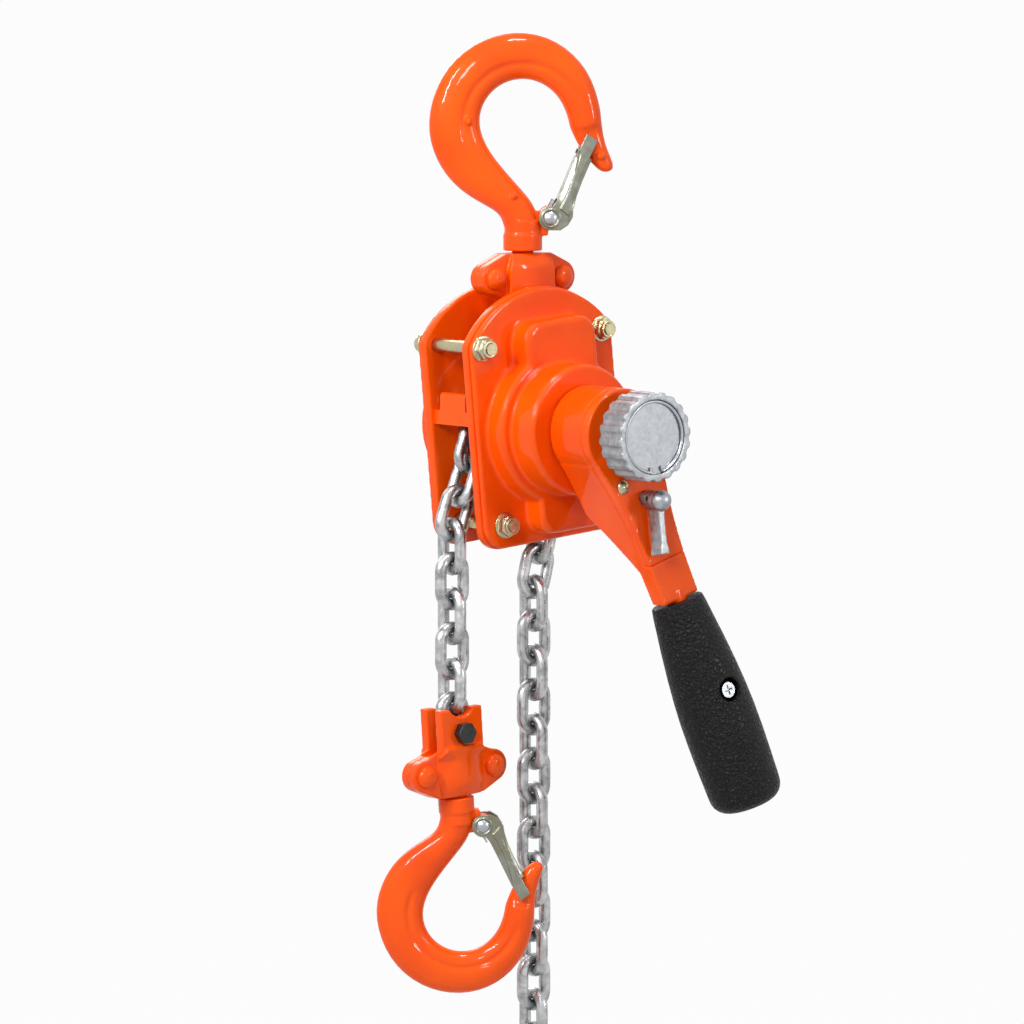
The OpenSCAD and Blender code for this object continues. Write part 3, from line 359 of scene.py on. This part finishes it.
def apply_modifier(piece, kind, **settings):
    """Adds a modifier, sets it and applies it."""
    activate(piece)
    modifier = piece.modifiers.new(kind.lower(), kind)
    for key, value in settings.items():
        setattr(modifier, key, value)
    bpy.ops.object.modifier_apply(modifier=modifier.name)


def relax(piece, skin, passes):
    """Covers a piece with an even skin, rounds its corners and thins the skin again."""
    apply_modifier(piece, "REMESH", mode="VOXEL", voxel_size=skin * MM, adaptivity=0)
    apply_modifier(piece, "SMOOTH", factor=0.5, iterations=passes)
    faces = len(piece.data.polygons)
    if faces > MOST_FACES:
        apply_modifier(piece, "DECIMATE", ratio=MOST_FACES / faces)
    activate(piece)
    bpy.ops.object.shade_smooth()


def settle(piece, body, finish, *replaced):
    """Gives a finished piece its material and its body, and hides the CAD nodes that it stands for."""
    piece.data.materials.clear()
    piece.data.materials.append(finishes[finish])
    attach(piece, body)
    if replaced:
        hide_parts(*replaced)
    print(piece.name, len(piece.data.polygons), "faces on", body)
    return piece


def rounded_copy(node, body, skin, passes):
    """A relaxed copy of a CAD node, in the node's own finish."""
    piece = bpy.data.objects.new(node + "_cast", nodes[node].data.copy())
    bpy.context.collection.objects.link(piece)
    weld(piece)
    relax(piece, skin, passes)
    return settle(piece, body, slot_of[node], node)


# %% [markdown]
# The table gives each part its skin size in millimetres and how often it is relaxed. Pressed covers
# flow softly from drum to flange, so they are relaxed most. Nuts keep their flats, so they get a fine
# skin and only a few passes.

# %% Rounded copies
ROUNDED = {
    "top_yoke": {"top_yoke_front": (0.36, 9), "top_yoke_rear": (0.36, 9)},
    "frame": {"front_side_plate": (0.55, 4), "rear_side_plate": (0.55, 4), "brake_cover": (0.55, 16),
              "gear_cover": (0.55, 12), "stay_nuts": (0.24, 4)},
    "lever": {"lever_body": (0.5, 7), "lever_cover": (0.45, 6)},
    "drive": {"hand_wheel": (0.3, 6)},
    "bottom_yoke": {"bottom_yoke_front": (0.36, 9), "bottom_yoke_rear": (0.36, 9), "chain_bolt": (0.22, 4),
                    "chain_bolt_nut": (0.22, 4)},
    "end_ring": {"end_ring": (0.4, 8), "end_ring_bolt": (0.24, 4), "end_ring_nut": (0.22, 4)},
}
for body, parts in ROUNDED.items():
    for node, (skin, passes) in parts.items():
        rounded_copy(node, body, skin, passes)

# %% [markdown]
# ## The hooks
# Each hook is one forging: a bar that swells into the bowl and thins to the tip, with a lug for the
# latch and a round collar under the shank. It could be carved from a block, but a forging is really a
# section that travels along a curve. So a ring is added at each station, stretched to the section
# there, and bridged to the ring before. Subdivision then makes the flow smooth.

# %% Stations of the hook
BOWL_R = 19.5
HOOK_T = 13
RING_SIDES = 16


def bowl(angle, width, thickness=HOOK_T):
    """Inner and outer point of the bowl at an angle, with the section's thickness."""
    a = math.radians(angle)
    return (BOWL_R * math.cos(a), BOWL_R * (math.sin(a) - 1),
            (BOWL_R + width) * math.cos(a), (BOWL_R + width) * math.sin(a) - BOWL_R, thickness)


HOOK_STATIONS = [
    (7.6, -68.5, -7.6, -68.5, 15.2), (7.2, -61, -8.4, -61, 14.6), (4.5, -53.5, -11.5, -57, 14),
    (-1.7, -46.6, -18.8, -53.4, 14), (-9.3, -38, -29.5, -46.5, 14), (-15.6, -29.8, -37.8, -35, 14),
    bowl(180, 22.4, 14), bowl(150, 22.2), bowl(122, 21.6), bowl(95, 20.8), bowl(68, 19.8), bowl(38, 17.4),
    bowl(10, 14.6), (19.8, -20, 33.7, -17.6, 12.8), (20.6, -22.2, 34.0, -19.6, 12.4),
    (21.2, -23.6, 34.1, -21, 8.8),
    (24.6, -30.8, 35.4, -29, 8.2), (30.2, -37.6, 38.8, -36, 7.8), (34.4, -41.2, 39.2, -40, 5)]
# Subdivision draws a ring of sixteen points in by about this share
RING_GROWTH = 1.02


def add_ring(station):
    """Adds one elliptical ring across the hook, in edit mode."""
    inner_x, inner_z, outer_x, outer_z, thickness = station
    width = math.hypot(outer_x - inner_x, outer_z - inner_z)
    slope = math.atan2(outer_z - inner_z, outer_x - inner_x)
    bpy.ops.mesh.primitive_circle_add(
        vertices=RING_SIDES, radius=width / 2 * MM * RING_GROWTH, rotation=(0, -slope, 0),
        location=((inner_x + outer_x) / 2 * MM, 0, (inner_z + outer_z) / 2 * MM))
    bpy.ops.transform.resize(value=(1, thickness / width, 1))


def bridge_last_rings(piece, count):
    """Joins the two rings added last."""
    mesh = bmesh.from_edit_mesh(piece.data)
    mesh.verts.ensure_lookup_table()
    bpy.ops.mesh.select_all(action="DESELECT")
    first = (count - 2) * RING_SIDES
    wanted = set(mesh.verts[first:first + 2 * RING_SIDES])
    for edge in mesh.edges:
        if len(edge.link_faces) < 2 and edge.verts[0] in wanted and edge.verts[1] in wanted:
            edge.select_set(True)
    bmesh.update_edit_mesh(piece.data)
    bpy.ops.mesh.bridge_edge_loops()


def hook_bar(name):
    """The swept bar of a hook, seat at the origin."""
    bpy.ops.object.select_all(action="DESELECT")
    bpy.ops.object.add(type="MESH", location=(0, 0, 0))
    piece = bpy.context.object
    piece.name = name
    bpy.ops.object.mode_set(mode="EDIT")
    bpy.ops.mesh.select_mode(type="EDGE")
    for count, station in enumerate(HOOK_STATIONS, start=1):
        bpy.ops.mesh.select_all(action="DESELECT")
        add_ring(station)
        if count > 1:
            bridge_last_rings(piece, count)
    bpy.ops.mesh.select_all(action="DESELECT")
    bpy.ops.mesh.select_non_manifold(extend=False, use_wire=False, use_multi_face=False,
                                     use_non_contiguous=False, use_verts=False)
    bpy.ops.mesh.edge_face_add()
    bpy.ops.mesh.select_all(action="SELECT")
    bpy.ops.mesh.normals_make_consistent(inside=False)
    bpy.ops.object.mode_set(mode="OBJECT")
    apply_modifier(piece, "SUBSURF", levels=2, render_levels=2)
    return piece


# %% [markdown]
# The lug, the collar and the shank are added to the bar, and on the top hook three raised gauge dots.
# One skin is drawn over them all, so that they flow into the bar as forged metal does. A groove is
# then pressed into both faces of the bowl. The load hook is the same forging a little smaller, turned
# upside down.

# %% The rest of the forging
LATCH_PIVOT = (11.6, -60)
LUG_R = 5
LUG_T = 7.2
COLLAR_Z = -74
COLLAR_R, COLLAR_H = 8.4, 7.2
NECK_R, NECK_TOP = 7.9, 13
SHANK_R, SHANK_DROP = 4.5, 10
SHANK_HEAD_R, HEAD_FROM, HEAD_TO = 7, 13.7, 9.3
DOT_R = 1.7
BOWL_Z = -BOWL_R
GROOVE_R = 25.8
GROOVE_HALF_W = 1.5
GROOVE_DEPTH = 0.9
GROOVE_FROM, GROOVE_TO = 12, 215
GROOVE_FADE = 20
EDGE_HALF_T = 2.5
GAUGE_DOTS = [(-24, -6.1, -18.5), (-4.5, -6.1, -50.5), (33.4, -4.3, -33.5)]


def rod(radius, low, high, x=0.0):
    """A round bar along Z, in millimetres."""
    bpy.ops.mesh.primitive_cylinder_add(vertices=48, radius=radius * MM, depth=(high - low) * MM,
                                        location=(x * MM, 0, (low + high) / 2 * MM))
    return bpy.context.object


def press_groove(piece):
    """Sinks a shallow groove into both faces, so that a bead is left round the bowl."""
    for vertex in piece.data.vertices:
        x, z = vertex.co.x / MM, vertex.co.z / MM - BOWL_Z
        angle = math.degrees(math.atan2(z, x)) % 360
        if abs(vertex.co.y) < EDGE_HALF_T * MM or not GROOVE_FROM < angle < GROOVE_TO:
            continue
        fade = min(1, (angle - GROOVE_FROM) / GROOVE_FADE, (GROOVE_TO - angle) / GROOVE_FADE)
        near = math.exp(-((math.hypot(x, z) - GROOVE_R) / GROOVE_HALF_W) ** 2)
        vertex.co.y -= math.copysign(GROOVE_DEPTH * near * fade * MM, vertex.co.y)


def forged_hook(name, scale, dots):
    """A whole hook, seat at the origin. Its shank keeps its full size at any scale."""
    bar = hook_bar(name)
    extras = [rod(COLLAR_R, COLLAR_Z, COLLAR_Z + COLLAR_H), rod(NECK_R, COLLAR_Z + 7, COLLAR_Z + NECK_TOP)]
    bpy.ops.mesh.primitive_cylinder_add(vertices=48, radius=LUG_R * MM, depth=LUG_T * MM,
                                        rotation=(math.pi / 2, 0, 0),
                                        location=(LATCH_PIVOT[0] * MM, 0, LATCH_PIVOT[1] * MM))
    extras.append(bpy.context.object)
    bpy.ops.mesh.primitive_cube_add(size=1, location=(6.8 * MM, 0, -62.3 * MM),
                                    scale=(7.8 * MM, LUG_T * MM, 10.6 * MM))
    extras.append(bpy.context.object)
    for x, y, z in dots:
        bpy.ops.mesh.primitive_uv_sphere_add(segments=24, ring_count=12, radius=DOT_R * MM,
                                             location=(x * MM, y * MM, z * MM))
        extras.append(bpy.context.object)
    shank_top = COLLAR_Z * scale
    extras.append(rod(SHANK_R / scale, (shank_top - SHANK_DROP) / scale, COLLAR_Z + 1))
    extras.append(rod(SHANK_HEAD_R / scale, (shank_top - HEAD_FROM) / scale, (shank_top - HEAD_TO) / scale))
    activate(bar)
    for extra in extras:
        extra.select_set(True)
    bpy.ops.object.join()
    bpy.ops.object.transform_apply(location=True, rotation=True, scale=True)
    relax(bar, 0.42, 9)
    press_groove(bar)
    return bar


def put(piece, place):
    """Moves a piece's mesh to its place, and leaves its object at the origin."""
    piece.data.transform(place)
    if place.determinant() < 0:
        piece.data.flip_normals()
    return piece


# %% Top hook and load hook
HOOK_TURN = math.radians(-33)
LOAD_TILT = math.radians(4)
LOAD_HOOK_SCALE = 0.92
joints = {joint["name"]: joint for joint in frame["joints"]}
seats = {mount["name"]: Vector(mount["pos_m"]) for mount in frame["record"]["mounts"]}

top_place = Matrix.Rotation(HOOK_TURN, 4, "Z")
load_place = (Matrix.Translation(seats["load_hook_seat"]) @ Matrix.Rotation(-LOAD_TILT, 4, "Y")
              @ Matrix.Rotation(HOOK_TURN, 4, "Z")
              @ Matrix.Diagonal((LOAD_HOOK_SCALE, LOAD_HOOK_SCALE, -LOAD_HOOK_SCALE, 1)))
top_forging = forged_hook("top_hook_forging", 1.0, GAUGE_DOTS)
settle(put(top_forging, top_place), "top_hook", "orange_paint", "top_hook")
load_forging = forged_hook("load_hook_forging", LOAD_HOOK_SCALE, [])
settle(put(load_forging, load_place), "bottom_hook", "orange_paint", "bottom_hook")

# %% [markdown]
# ## The grip
# The rubber grip is a moulded sleeve that swells towards the hand and ends in a full round. It is a
# body of revolution, so its outline is drawn by extruding one point after another and then spun. The
# hole for its screw is cut with a Boolean, and a skin over it all rounds the lip and the hole's rim.

# %% Spun shapes
SPIN_STEPS = 64


def spun(name, outline):
    """Spins an outline of (radius, z) points in millimetres round the Z axis."""
    bpy.ops.object.select_all(action="DESELECT")
    bpy.ops.mesh.primitive_plane_add(size=MM, location=(0, 0, 0))
    piece = bpy.context.object
    piece.name = name
    bpy.ops.object.mode_set(mode="EDIT")
    bpy.ops.mesh.select_mode(type="VERT")
    bpy.ops.mesh.merge(type="CENTER")
    last = Vector((0, 0, 0))
    for radius, z in outline:
        here = Vector((radius * MM, 0, z * MM))
        if last == Vector((0, 0, 0)):
            bpy.ops.transform.translate(value=here - last)
        else:
            bpy.ops.mesh.extrude_region_move(TRANSFORM_OT_translate={"value": here - last})
        last = here
    bpy.ops.mesh.select_all(action="SELECT")
    bpy.ops.mesh.spin(steps=SPIN_STEPS, angle=2 * math.pi, center=(0, 0, 0), axis=(0, 0, 1))
    bpy.ops.mesh.select_all(action="SELECT")
    bpy.ops.mesh.remove_doubles(threshold=0.01 * MM)
    bpy.ops.mesh.normals_make_consistent(inside=False)
    bpy.ops.object.mode_set(mode="OBJECT")
    return piece


# %% The grip's place on the lever
LEVER_SWING = math.radians(18)
LEVER_LEAN = math.radians(9)
GRIP_START = 74
GRIP_LENGTH = 95
GRIP_Y = 77.63
axle = Vector(joints["drive_turn"]["pos_m"])
on_lever = (Matrix.Translation(axle) @ Matrix.Rotation(-LEVER_SWING, 4, "Y")
            @ Matrix.Diagonal((1, -1, 1, 1)))
on_grip = (on_lever @ Matrix.Translation((0, GRIP_Y * MM, -GRIP_START * MM))
           @ Matrix.Rotation(LEVER_LEAN, 4, "X"))

# %% The grip itself
# Radius of the grip at shares of its length, from the lip to the start of its round end
GRIP_SWELL = [(0.012, 10.6), (0.016, 11.3), (0.05, 11.9), (0.12, 12.7), (0.22, 13.9), (0.34, 15.1),
              (0.46, 16.0), (0.56, 16.4), (0.68, 16.45), (0.8, 16.2), (0.9, 15.9)]
END_ROUND = 7.5
BORE_R = 4.6
SCREW_HOLE_R = 5.2
SCREW_HOLE_DEPTH = 16
SCREW_SHARE = 0.45
grip_outline = [(BORE_R, -1.2), (9.4, -1.2)]
grip_outline += [(radius, -share * GRIP_LENGTH) for share, radius in GRIP_SWELL]
grip_outline += [(8.3 + END_ROUND * math.cos(math.radians(a)),
                  END_ROUND - GRIP_LENGTH - END_ROUND * math.sin(math.radians(a))) for a in range(10, 91, 16)]
grip_outline += [(4, -GRIP_LENGTH), (0.01, -GRIP_LENGTH), (0.01, -0.6 * GRIP_LENGTH),
                 (BORE_R, -0.6 * GRIP_LENGTH), (BORE_R, -1.2)]
grip = spun("rubber_grip", grip_outline)
bpy.ops.mesh.primitive_cylinder_add(vertices=40, radius=SCREW_HOLE_R * MM, depth=SCREW_HOLE_DEPTH * MM,
                                    rotation=(math.pi / 2, 0, 0),
                                    location=(0, 17 * MM, -SCREW_SHARE * GRIP_LENGTH * MM))
cutter = bpy.context.object
apply_modifier(grip, "BOOLEAN", operation="DIFFERENCE", object=cutter)
bpy.data.objects.remove(cutter)
relax(grip, 0.45, 4)
settle(put(grip, on_grip), "lever", "grip_rubber", "lever_grip")

# %% [markdown]
# ## The latches
# A latch is one pressed sheet. Each cheek has a round ear on the pin, a wide neck beside it, and a
# tongue with a raised strip that narrows at its middle and goes on to lie beside the hook's tip. A web
# joins the cheeks on the bowl's side. The plates are drawn along the latch, from its pin.

# %% Plates from outlines


def plate(outline, low, high):
    """A flat plate from low to high along Y, with an outline of (x, z) points in millimetres."""
    bpy.ops.object.select_all(action="DESELECT")
    bpy.ops.mesh.primitive_circle_add(vertices=len(outline), fill_type="NGON")
    piece = bpy.context.object
    for vertex, (x, z) in zip(piece.data.vertices, outline):
        vertex.co = (x * MM, low * MM, z * MM)
    bpy.ops.object.mode_set(mode="EDIT")
    bpy.ops.mesh.select_all(action="SELECT")
    bpy.ops.mesh.extrude_region_move(TRANSFORM_OT_translate={"value": (0, (high - low) * MM, 0)})
    bpy.ops.mesh.select_all(action="SELECT")
    bpy.ops.mesh.normals_make_consistent(inside=False)
    bpy.ops.object.mode_set(mode="OBJECT")
    return piece


def joined(name, pieces):
    """Joins pieces into the first one and gives it a name."""
    activate(pieces[0])
    for piece in pieces[1:]:
        piece.select_set(True)
    bpy.ops.object.join()
    bpy.ops.object.transform_apply(location=True, rotation=True, scale=True)
    pieces[0].name = name
    return pieces[0]


# %% The latch
LATCH_RISE = math.atan2(33.6, 19.4)
CHEEK = 4.75
SHEET = 1.1
STRIP_RISE = 1.0
FOLD_SLOPE = 0.6
EAR = 5.2
PIN_HOLE_R = 2.05
# Outline points are (along the latch, across it), and the bowl lies on the positive side
neck_and_tongue = [(-2.4, -6.3), (1.2, -8.0), (5.0, -8.0), (8.2, -6.6), (14, -5.0), (20.8, -3.9),
                   (30.4, -2.8), (31.6, 4.4), (20, 2.9), (12, 1.7), (7.4, 1.5)]
ear = [(EAR * math.cos(math.radians(a)), EAR * math.sin(math.radians(a))) for a in range(20, 216, 15)]
raised_strip = [(4.6, -6.4), (9, -5.0), (14, -3.6), (20, -2.3), (26, -1.5), (31, -1.4), (38.6, -0.8),
                (39.2, 4.7), (33, 4.2), (28, 2.5), (22, 0.6), (16, -0.7), (10, -1.5), (5.6, -1.4)]
web = [(8.6, 0.4), (8.4, 1.5), (20, 2.9), (29.4, 4.1), (29.5, 3.0), (20, 1.8)]


def fold_beside_strip(piece):
    """Slopes the sheet inwards on both sides of the raised strip, between the neck and the tip."""
    for vertex in piece.data.vertices:
        along, across = vertex.co.x / MM, vertex.co.z / MM
        middle = -3.6 + 0.14 * along
        beyond = abs(across - middle) - 1.5
        fade = min(1, max(0, (along - 7) / 5)) * min(1, max(0, (32 - along) / 4))
        if beyond > 0 and fade > 0 and abs(vertex.co.y) > 0.6 * CHEEK * MM:
            vertex.co.y -= math.copysign(FOLD_SLOPE * beyond * fade * MM, vertex.co.y)


def latch(name):
    """A latch with its pin at the origin, along X."""
    parts = [plate(web, -CHEEK - 0.3, CHEEK + 0.3)]
    for side in (-1, 1):
        parts.append(plate(ear + neck_and_tongue, side * CHEEK, side * (CHEEK + SHEET)))
        parts.append(plate(raised_strip, side * (CHEEK + 0.05), side * (CHEEK + SHEET + STRIP_RISE)))
        bpy.ops.mesh.primitive_torus_add(major_segments=48, minor_segments=12, rotation=(math.pi / 2, 0, 0),
                                         location=(0, side * (CHEEK + SHEET) * MM, 0),
                                         major_radius=3.7 * MM, minor_radius=0.5 * MM)
        parts.append(bpy.context.object)
    piece = joined(name, parts)
    bpy.ops.mesh.primitive_cylinder_add(vertices=40, radius=PIN_HOLE_R * MM, depth=20 * MM,
                                        rotation=(math.pi / 2, 0, 0), location=(0, 0, 0))
    drill = bpy.context.object
    weld(piece)
    relax(piece, 0.2, 4)
    fold_beside_strip(piece)
    apply_modifier(piece, "BOOLEAN", operation="DIFFERENCE", object=drill)
    bpy.data.objects.remove(drill)
    return piece


on_pin = (Matrix.Translation((LATCH_PIVOT[0] * MM, 0, LATCH_PIVOT[1] * MM))
          @ Matrix.Rotation(-LATCH_RISE, 4, "Y"))
for latch_name, place, body, node in (
        ("top_latch_pressing", top_place, "top_latch", "top_hook_latch"),
        ("load_latch_pressing", load_place, "bottom_latch", "bottom_hook_latch")):
    pressing = settle(put(latch(latch_name), place @ on_pin), body, "zinc_yellow", node)
    pressing.data.materials[0] = finishes["brushed_zinc"]

# %% [markdown]
# ## The selector
# The selector is cast: a barrel with a ball end and a flat blade below it that flares at the foot. A
# set screw in the barrel's side holds it on its spindle.

# %% The selector
SELECTOR_AT = 29
KNOB_Y = 76.8
BARREL = 8.2
blade = [(-2.2, 1), (-1.5, -5), (-1.3, -12), (-1.4, -19), (-2.1, -22.4), (-2, -23.9), (2, -23.9),
         (2.1, -22.4), (1.4, -19), (1.3, -12), (1.5, -5), (2.2, 1)]
casting = plate(blade, 0.3, 7.8)
casting.data.transform(Matrix.Translation((0, KNOB_Y * MM, 0)) @ Matrix.Rotation(LEVER_LEAN, 4, "X"))
selector_parts = [casting]
for radius, low, high in ((3, 53, KNOB_Y + 1), (4.1, KNOB_Y, KNOB_Y + BARREL)):
    bpy.ops.mesh.primitive_cylinder_add(vertices=64, radius=radius * MM, depth=(high - low) * MM,
                                        rotation=(math.pi / 2, 0, 0), location=(0, (low + high) / 2 * MM, 0))
    selector_parts.append(bpy.context.object)
bpy.ops.mesh.primitive_uv_sphere_add(segments=48, ring_count=24, radius=4.4 * MM,
                                     location=(0, (KNOB_Y + BARREL) * MM, 0))
selector_parts.append(bpy.context.object)
selector = joined("selector_casting", selector_parts)
weld(selector)
relax(selector, 0.24, 4)
bpy.ops.mesh.primitive_cylinder_add(vertices=24, radius=1.1 * MM, depth=6 * MM, rotation=(0, math.pi / 2, 0),
                                    location=(-4.6 * MM, (KNOB_Y + 3.4) * MM, 0.6 * MM))
drill = bpy.context.object
apply_modifier(selector, "BOOLEAN", operation="DIFFERENCE", object=drill)
bpy.data.objects.remove(drill)
on_selector = (on_lever @ Matrix.Translation((0, 0, -SELECTOR_AT * MM))
               @ Matrix.Rotation(LEVER_SWING, 4, "Y"))
settle(put(selector, on_selector), "selector", "cast_silver", "selector_knob")

# %% [markdown]
# ## The yokes
# Each yoke half is a drop forging with a raised boss round the shank. The boss starts a little below
# the end face and is domed, so the welded copies of the halves are reshaped there: each point's depth
# is scaled down towards the end face and towards the boss's sides. The rivets get full domed heads.

# %% Domed bosses
BOSS_HALF_W = 12
SHOULDER = 6.5
RIVET_OUT = 18
RIVET_DOWN = 10.5
LOBE_HALF = 4.5
NECK_DROP = 27.5

top_yoke_place = Matrix.Translation(joints["top_swivel"]["pos_m"])
bolt_centre = Vector(joints["chain_bolt_swing"]["pos_m"])
load_yoke_place = (Matrix.Translation(bolt_centre) @ Matrix.Rotation(-LOAD_TILT, 4, "Y")
                   @ Matrix.Translation((0, 0, -NECK_DROP * MM)) @ Matrix.Diagonal((1, 1, -1, 1)))


def dome_boss(piece, place, lowest, roundness):
    """Domes the boss between the yoke's end face and lowest, the distance where the cheeks begin."""
    to_yoke = place.inverted()
    for vertex in piece.data.vertices:
        here = to_yoke @ vertex.co / MM
        down, aside = -here.z, min(1, abs(here.x) / BOSS_HALF_W)
        if down > lowest or abs(here.y) < LOBE_HALF:
            continue
        rise = min(1, max(0, down / SHOULDER))
        fade = min(1, (lowest - down) / 4)
        depth = (0.45 + 0.55 * math.sin(rise * math.pi / 2)) * (1 - roundness * aside ** 2)
        extra = abs(here.y) - LOBE_HALF
        here.y = math.copysign(LOBE_HALF + extra * (1 + (depth - 1) * fade), here.y)
        vertex.co = place @ (here * MM)


for half in ("front", "rear"):
    dome_boss(bpy.data.objects[f"top_yoke_{half}_cast"], top_yoke_place, 30, 0.35)
    dome_boss(bpy.data.objects[f"bottom_yoke_{half}_cast"], load_yoke_place, 20, 0.95)
print("bosses domed")

# %% Rivets
rivet_outline = [(0.02, -1), (4.75, -1), (4.75, 1.0), (4.45, 1.6), (3.9, 2.1), (2.9, 2.7), (1.6, 3.0),
                 (0.02, 3.1), (0.02, -1)]


def yoke_rivets(name, place):
    """The four rivet heads of a yoke, one spun and three copied."""
    heads = [spun(name, rivet_outline)]
    apply_modifier(heads[0], "BEVEL", width=0.25 * MM, segments=2, limit_method="ANGLE")
    bpy.ops.object.shade_smooth()
    for _ in range(3):
        heads.append(bpy.data.objects.new(name, heads[0].data.copy()))
        bpy.context.collection.objects.link(heads[-1])
    corners = [(side, out) for side in (-1, 1) for out in (-1, 1)]
    for head, (side, out) in zip(heads, corners):
        put(head, place @ Matrix.Translation((out * RIVET_OUT * MM, side * LOBE_HALF * MM, -RIVET_DOWN * MM))
            @ Matrix.Rotation(-side * math.pi / 2, 4, "X"))
    return joined(name, heads)


settle(yoke_rivets("top_yoke_rivet_heads", top_yoke_place), "top_yoke", "orange_paint", "top_yoke_rivets")
settle(yoke_rivets("load_yoke_rivet_heads", load_yoke_place), "bottom_yoke", "orange_paint",
       "bottom_yoke_rivets")
print("yoke rivets done")

# %% [markdown]
# ## Floor
# The floor lies just under the end ring and runs on far behind, so that no edge is seen. It glows
# nearly white for the camera and in mirrors alone, so it stays clean without lighting the hoist, and a
# thin matt part still takes the hoist's shadow.

# %% Floor
FLOOR_GAP = 2 * MM
FLOOR_SIZE = 240
GLOW = 0.97

bpy.ops.mesh.primitive_plane_add(size=FLOOR_SIZE, location=(0, 0, cad_box[0][2] - FLOOR_GAP))
floor = bpy.context.object
floor.name = "floor"
white = bpy.data.materials.new("stage_white")
white.use_nodes = True
tree = white.node_tree
out = tree.nodes["Material Output"]
matt = tree.nodes["Principled BSDF"]
matt.inputs["Base Color"].default_value = (0.8, 0.8, 0.8, 1)
matt.inputs["Roughness"].default_value = 0.9
matt.inputs["Specular IOR Level"].default_value = 0
glow = tree.nodes.new("ShaderNodeEmission")
glow.inputs["Color"].default_value = (1, 1, 1, 1)
share = tree.nodes.new("ShaderNodeMath")
share.operation = "MULTIPLY"
share.inputs[1].default_value = GLOW
tree.links.new(seen_directly(tree), share.inputs[0])
mix = tree.nodes.new("ShaderNodeMixShader")
tree.links.new(share.outputs[0], mix.inputs[0])
tree.links.new(matt.outputs[0], mix.inputs[1])
tree.links.new(glow.outputs[0], mix.inputs[2])
tree.links.new(mix.outputs[0], out.inputs["Surface"])
floor.data.materials.append(white)
print("floor", FLOOR_SIZE, "m square")
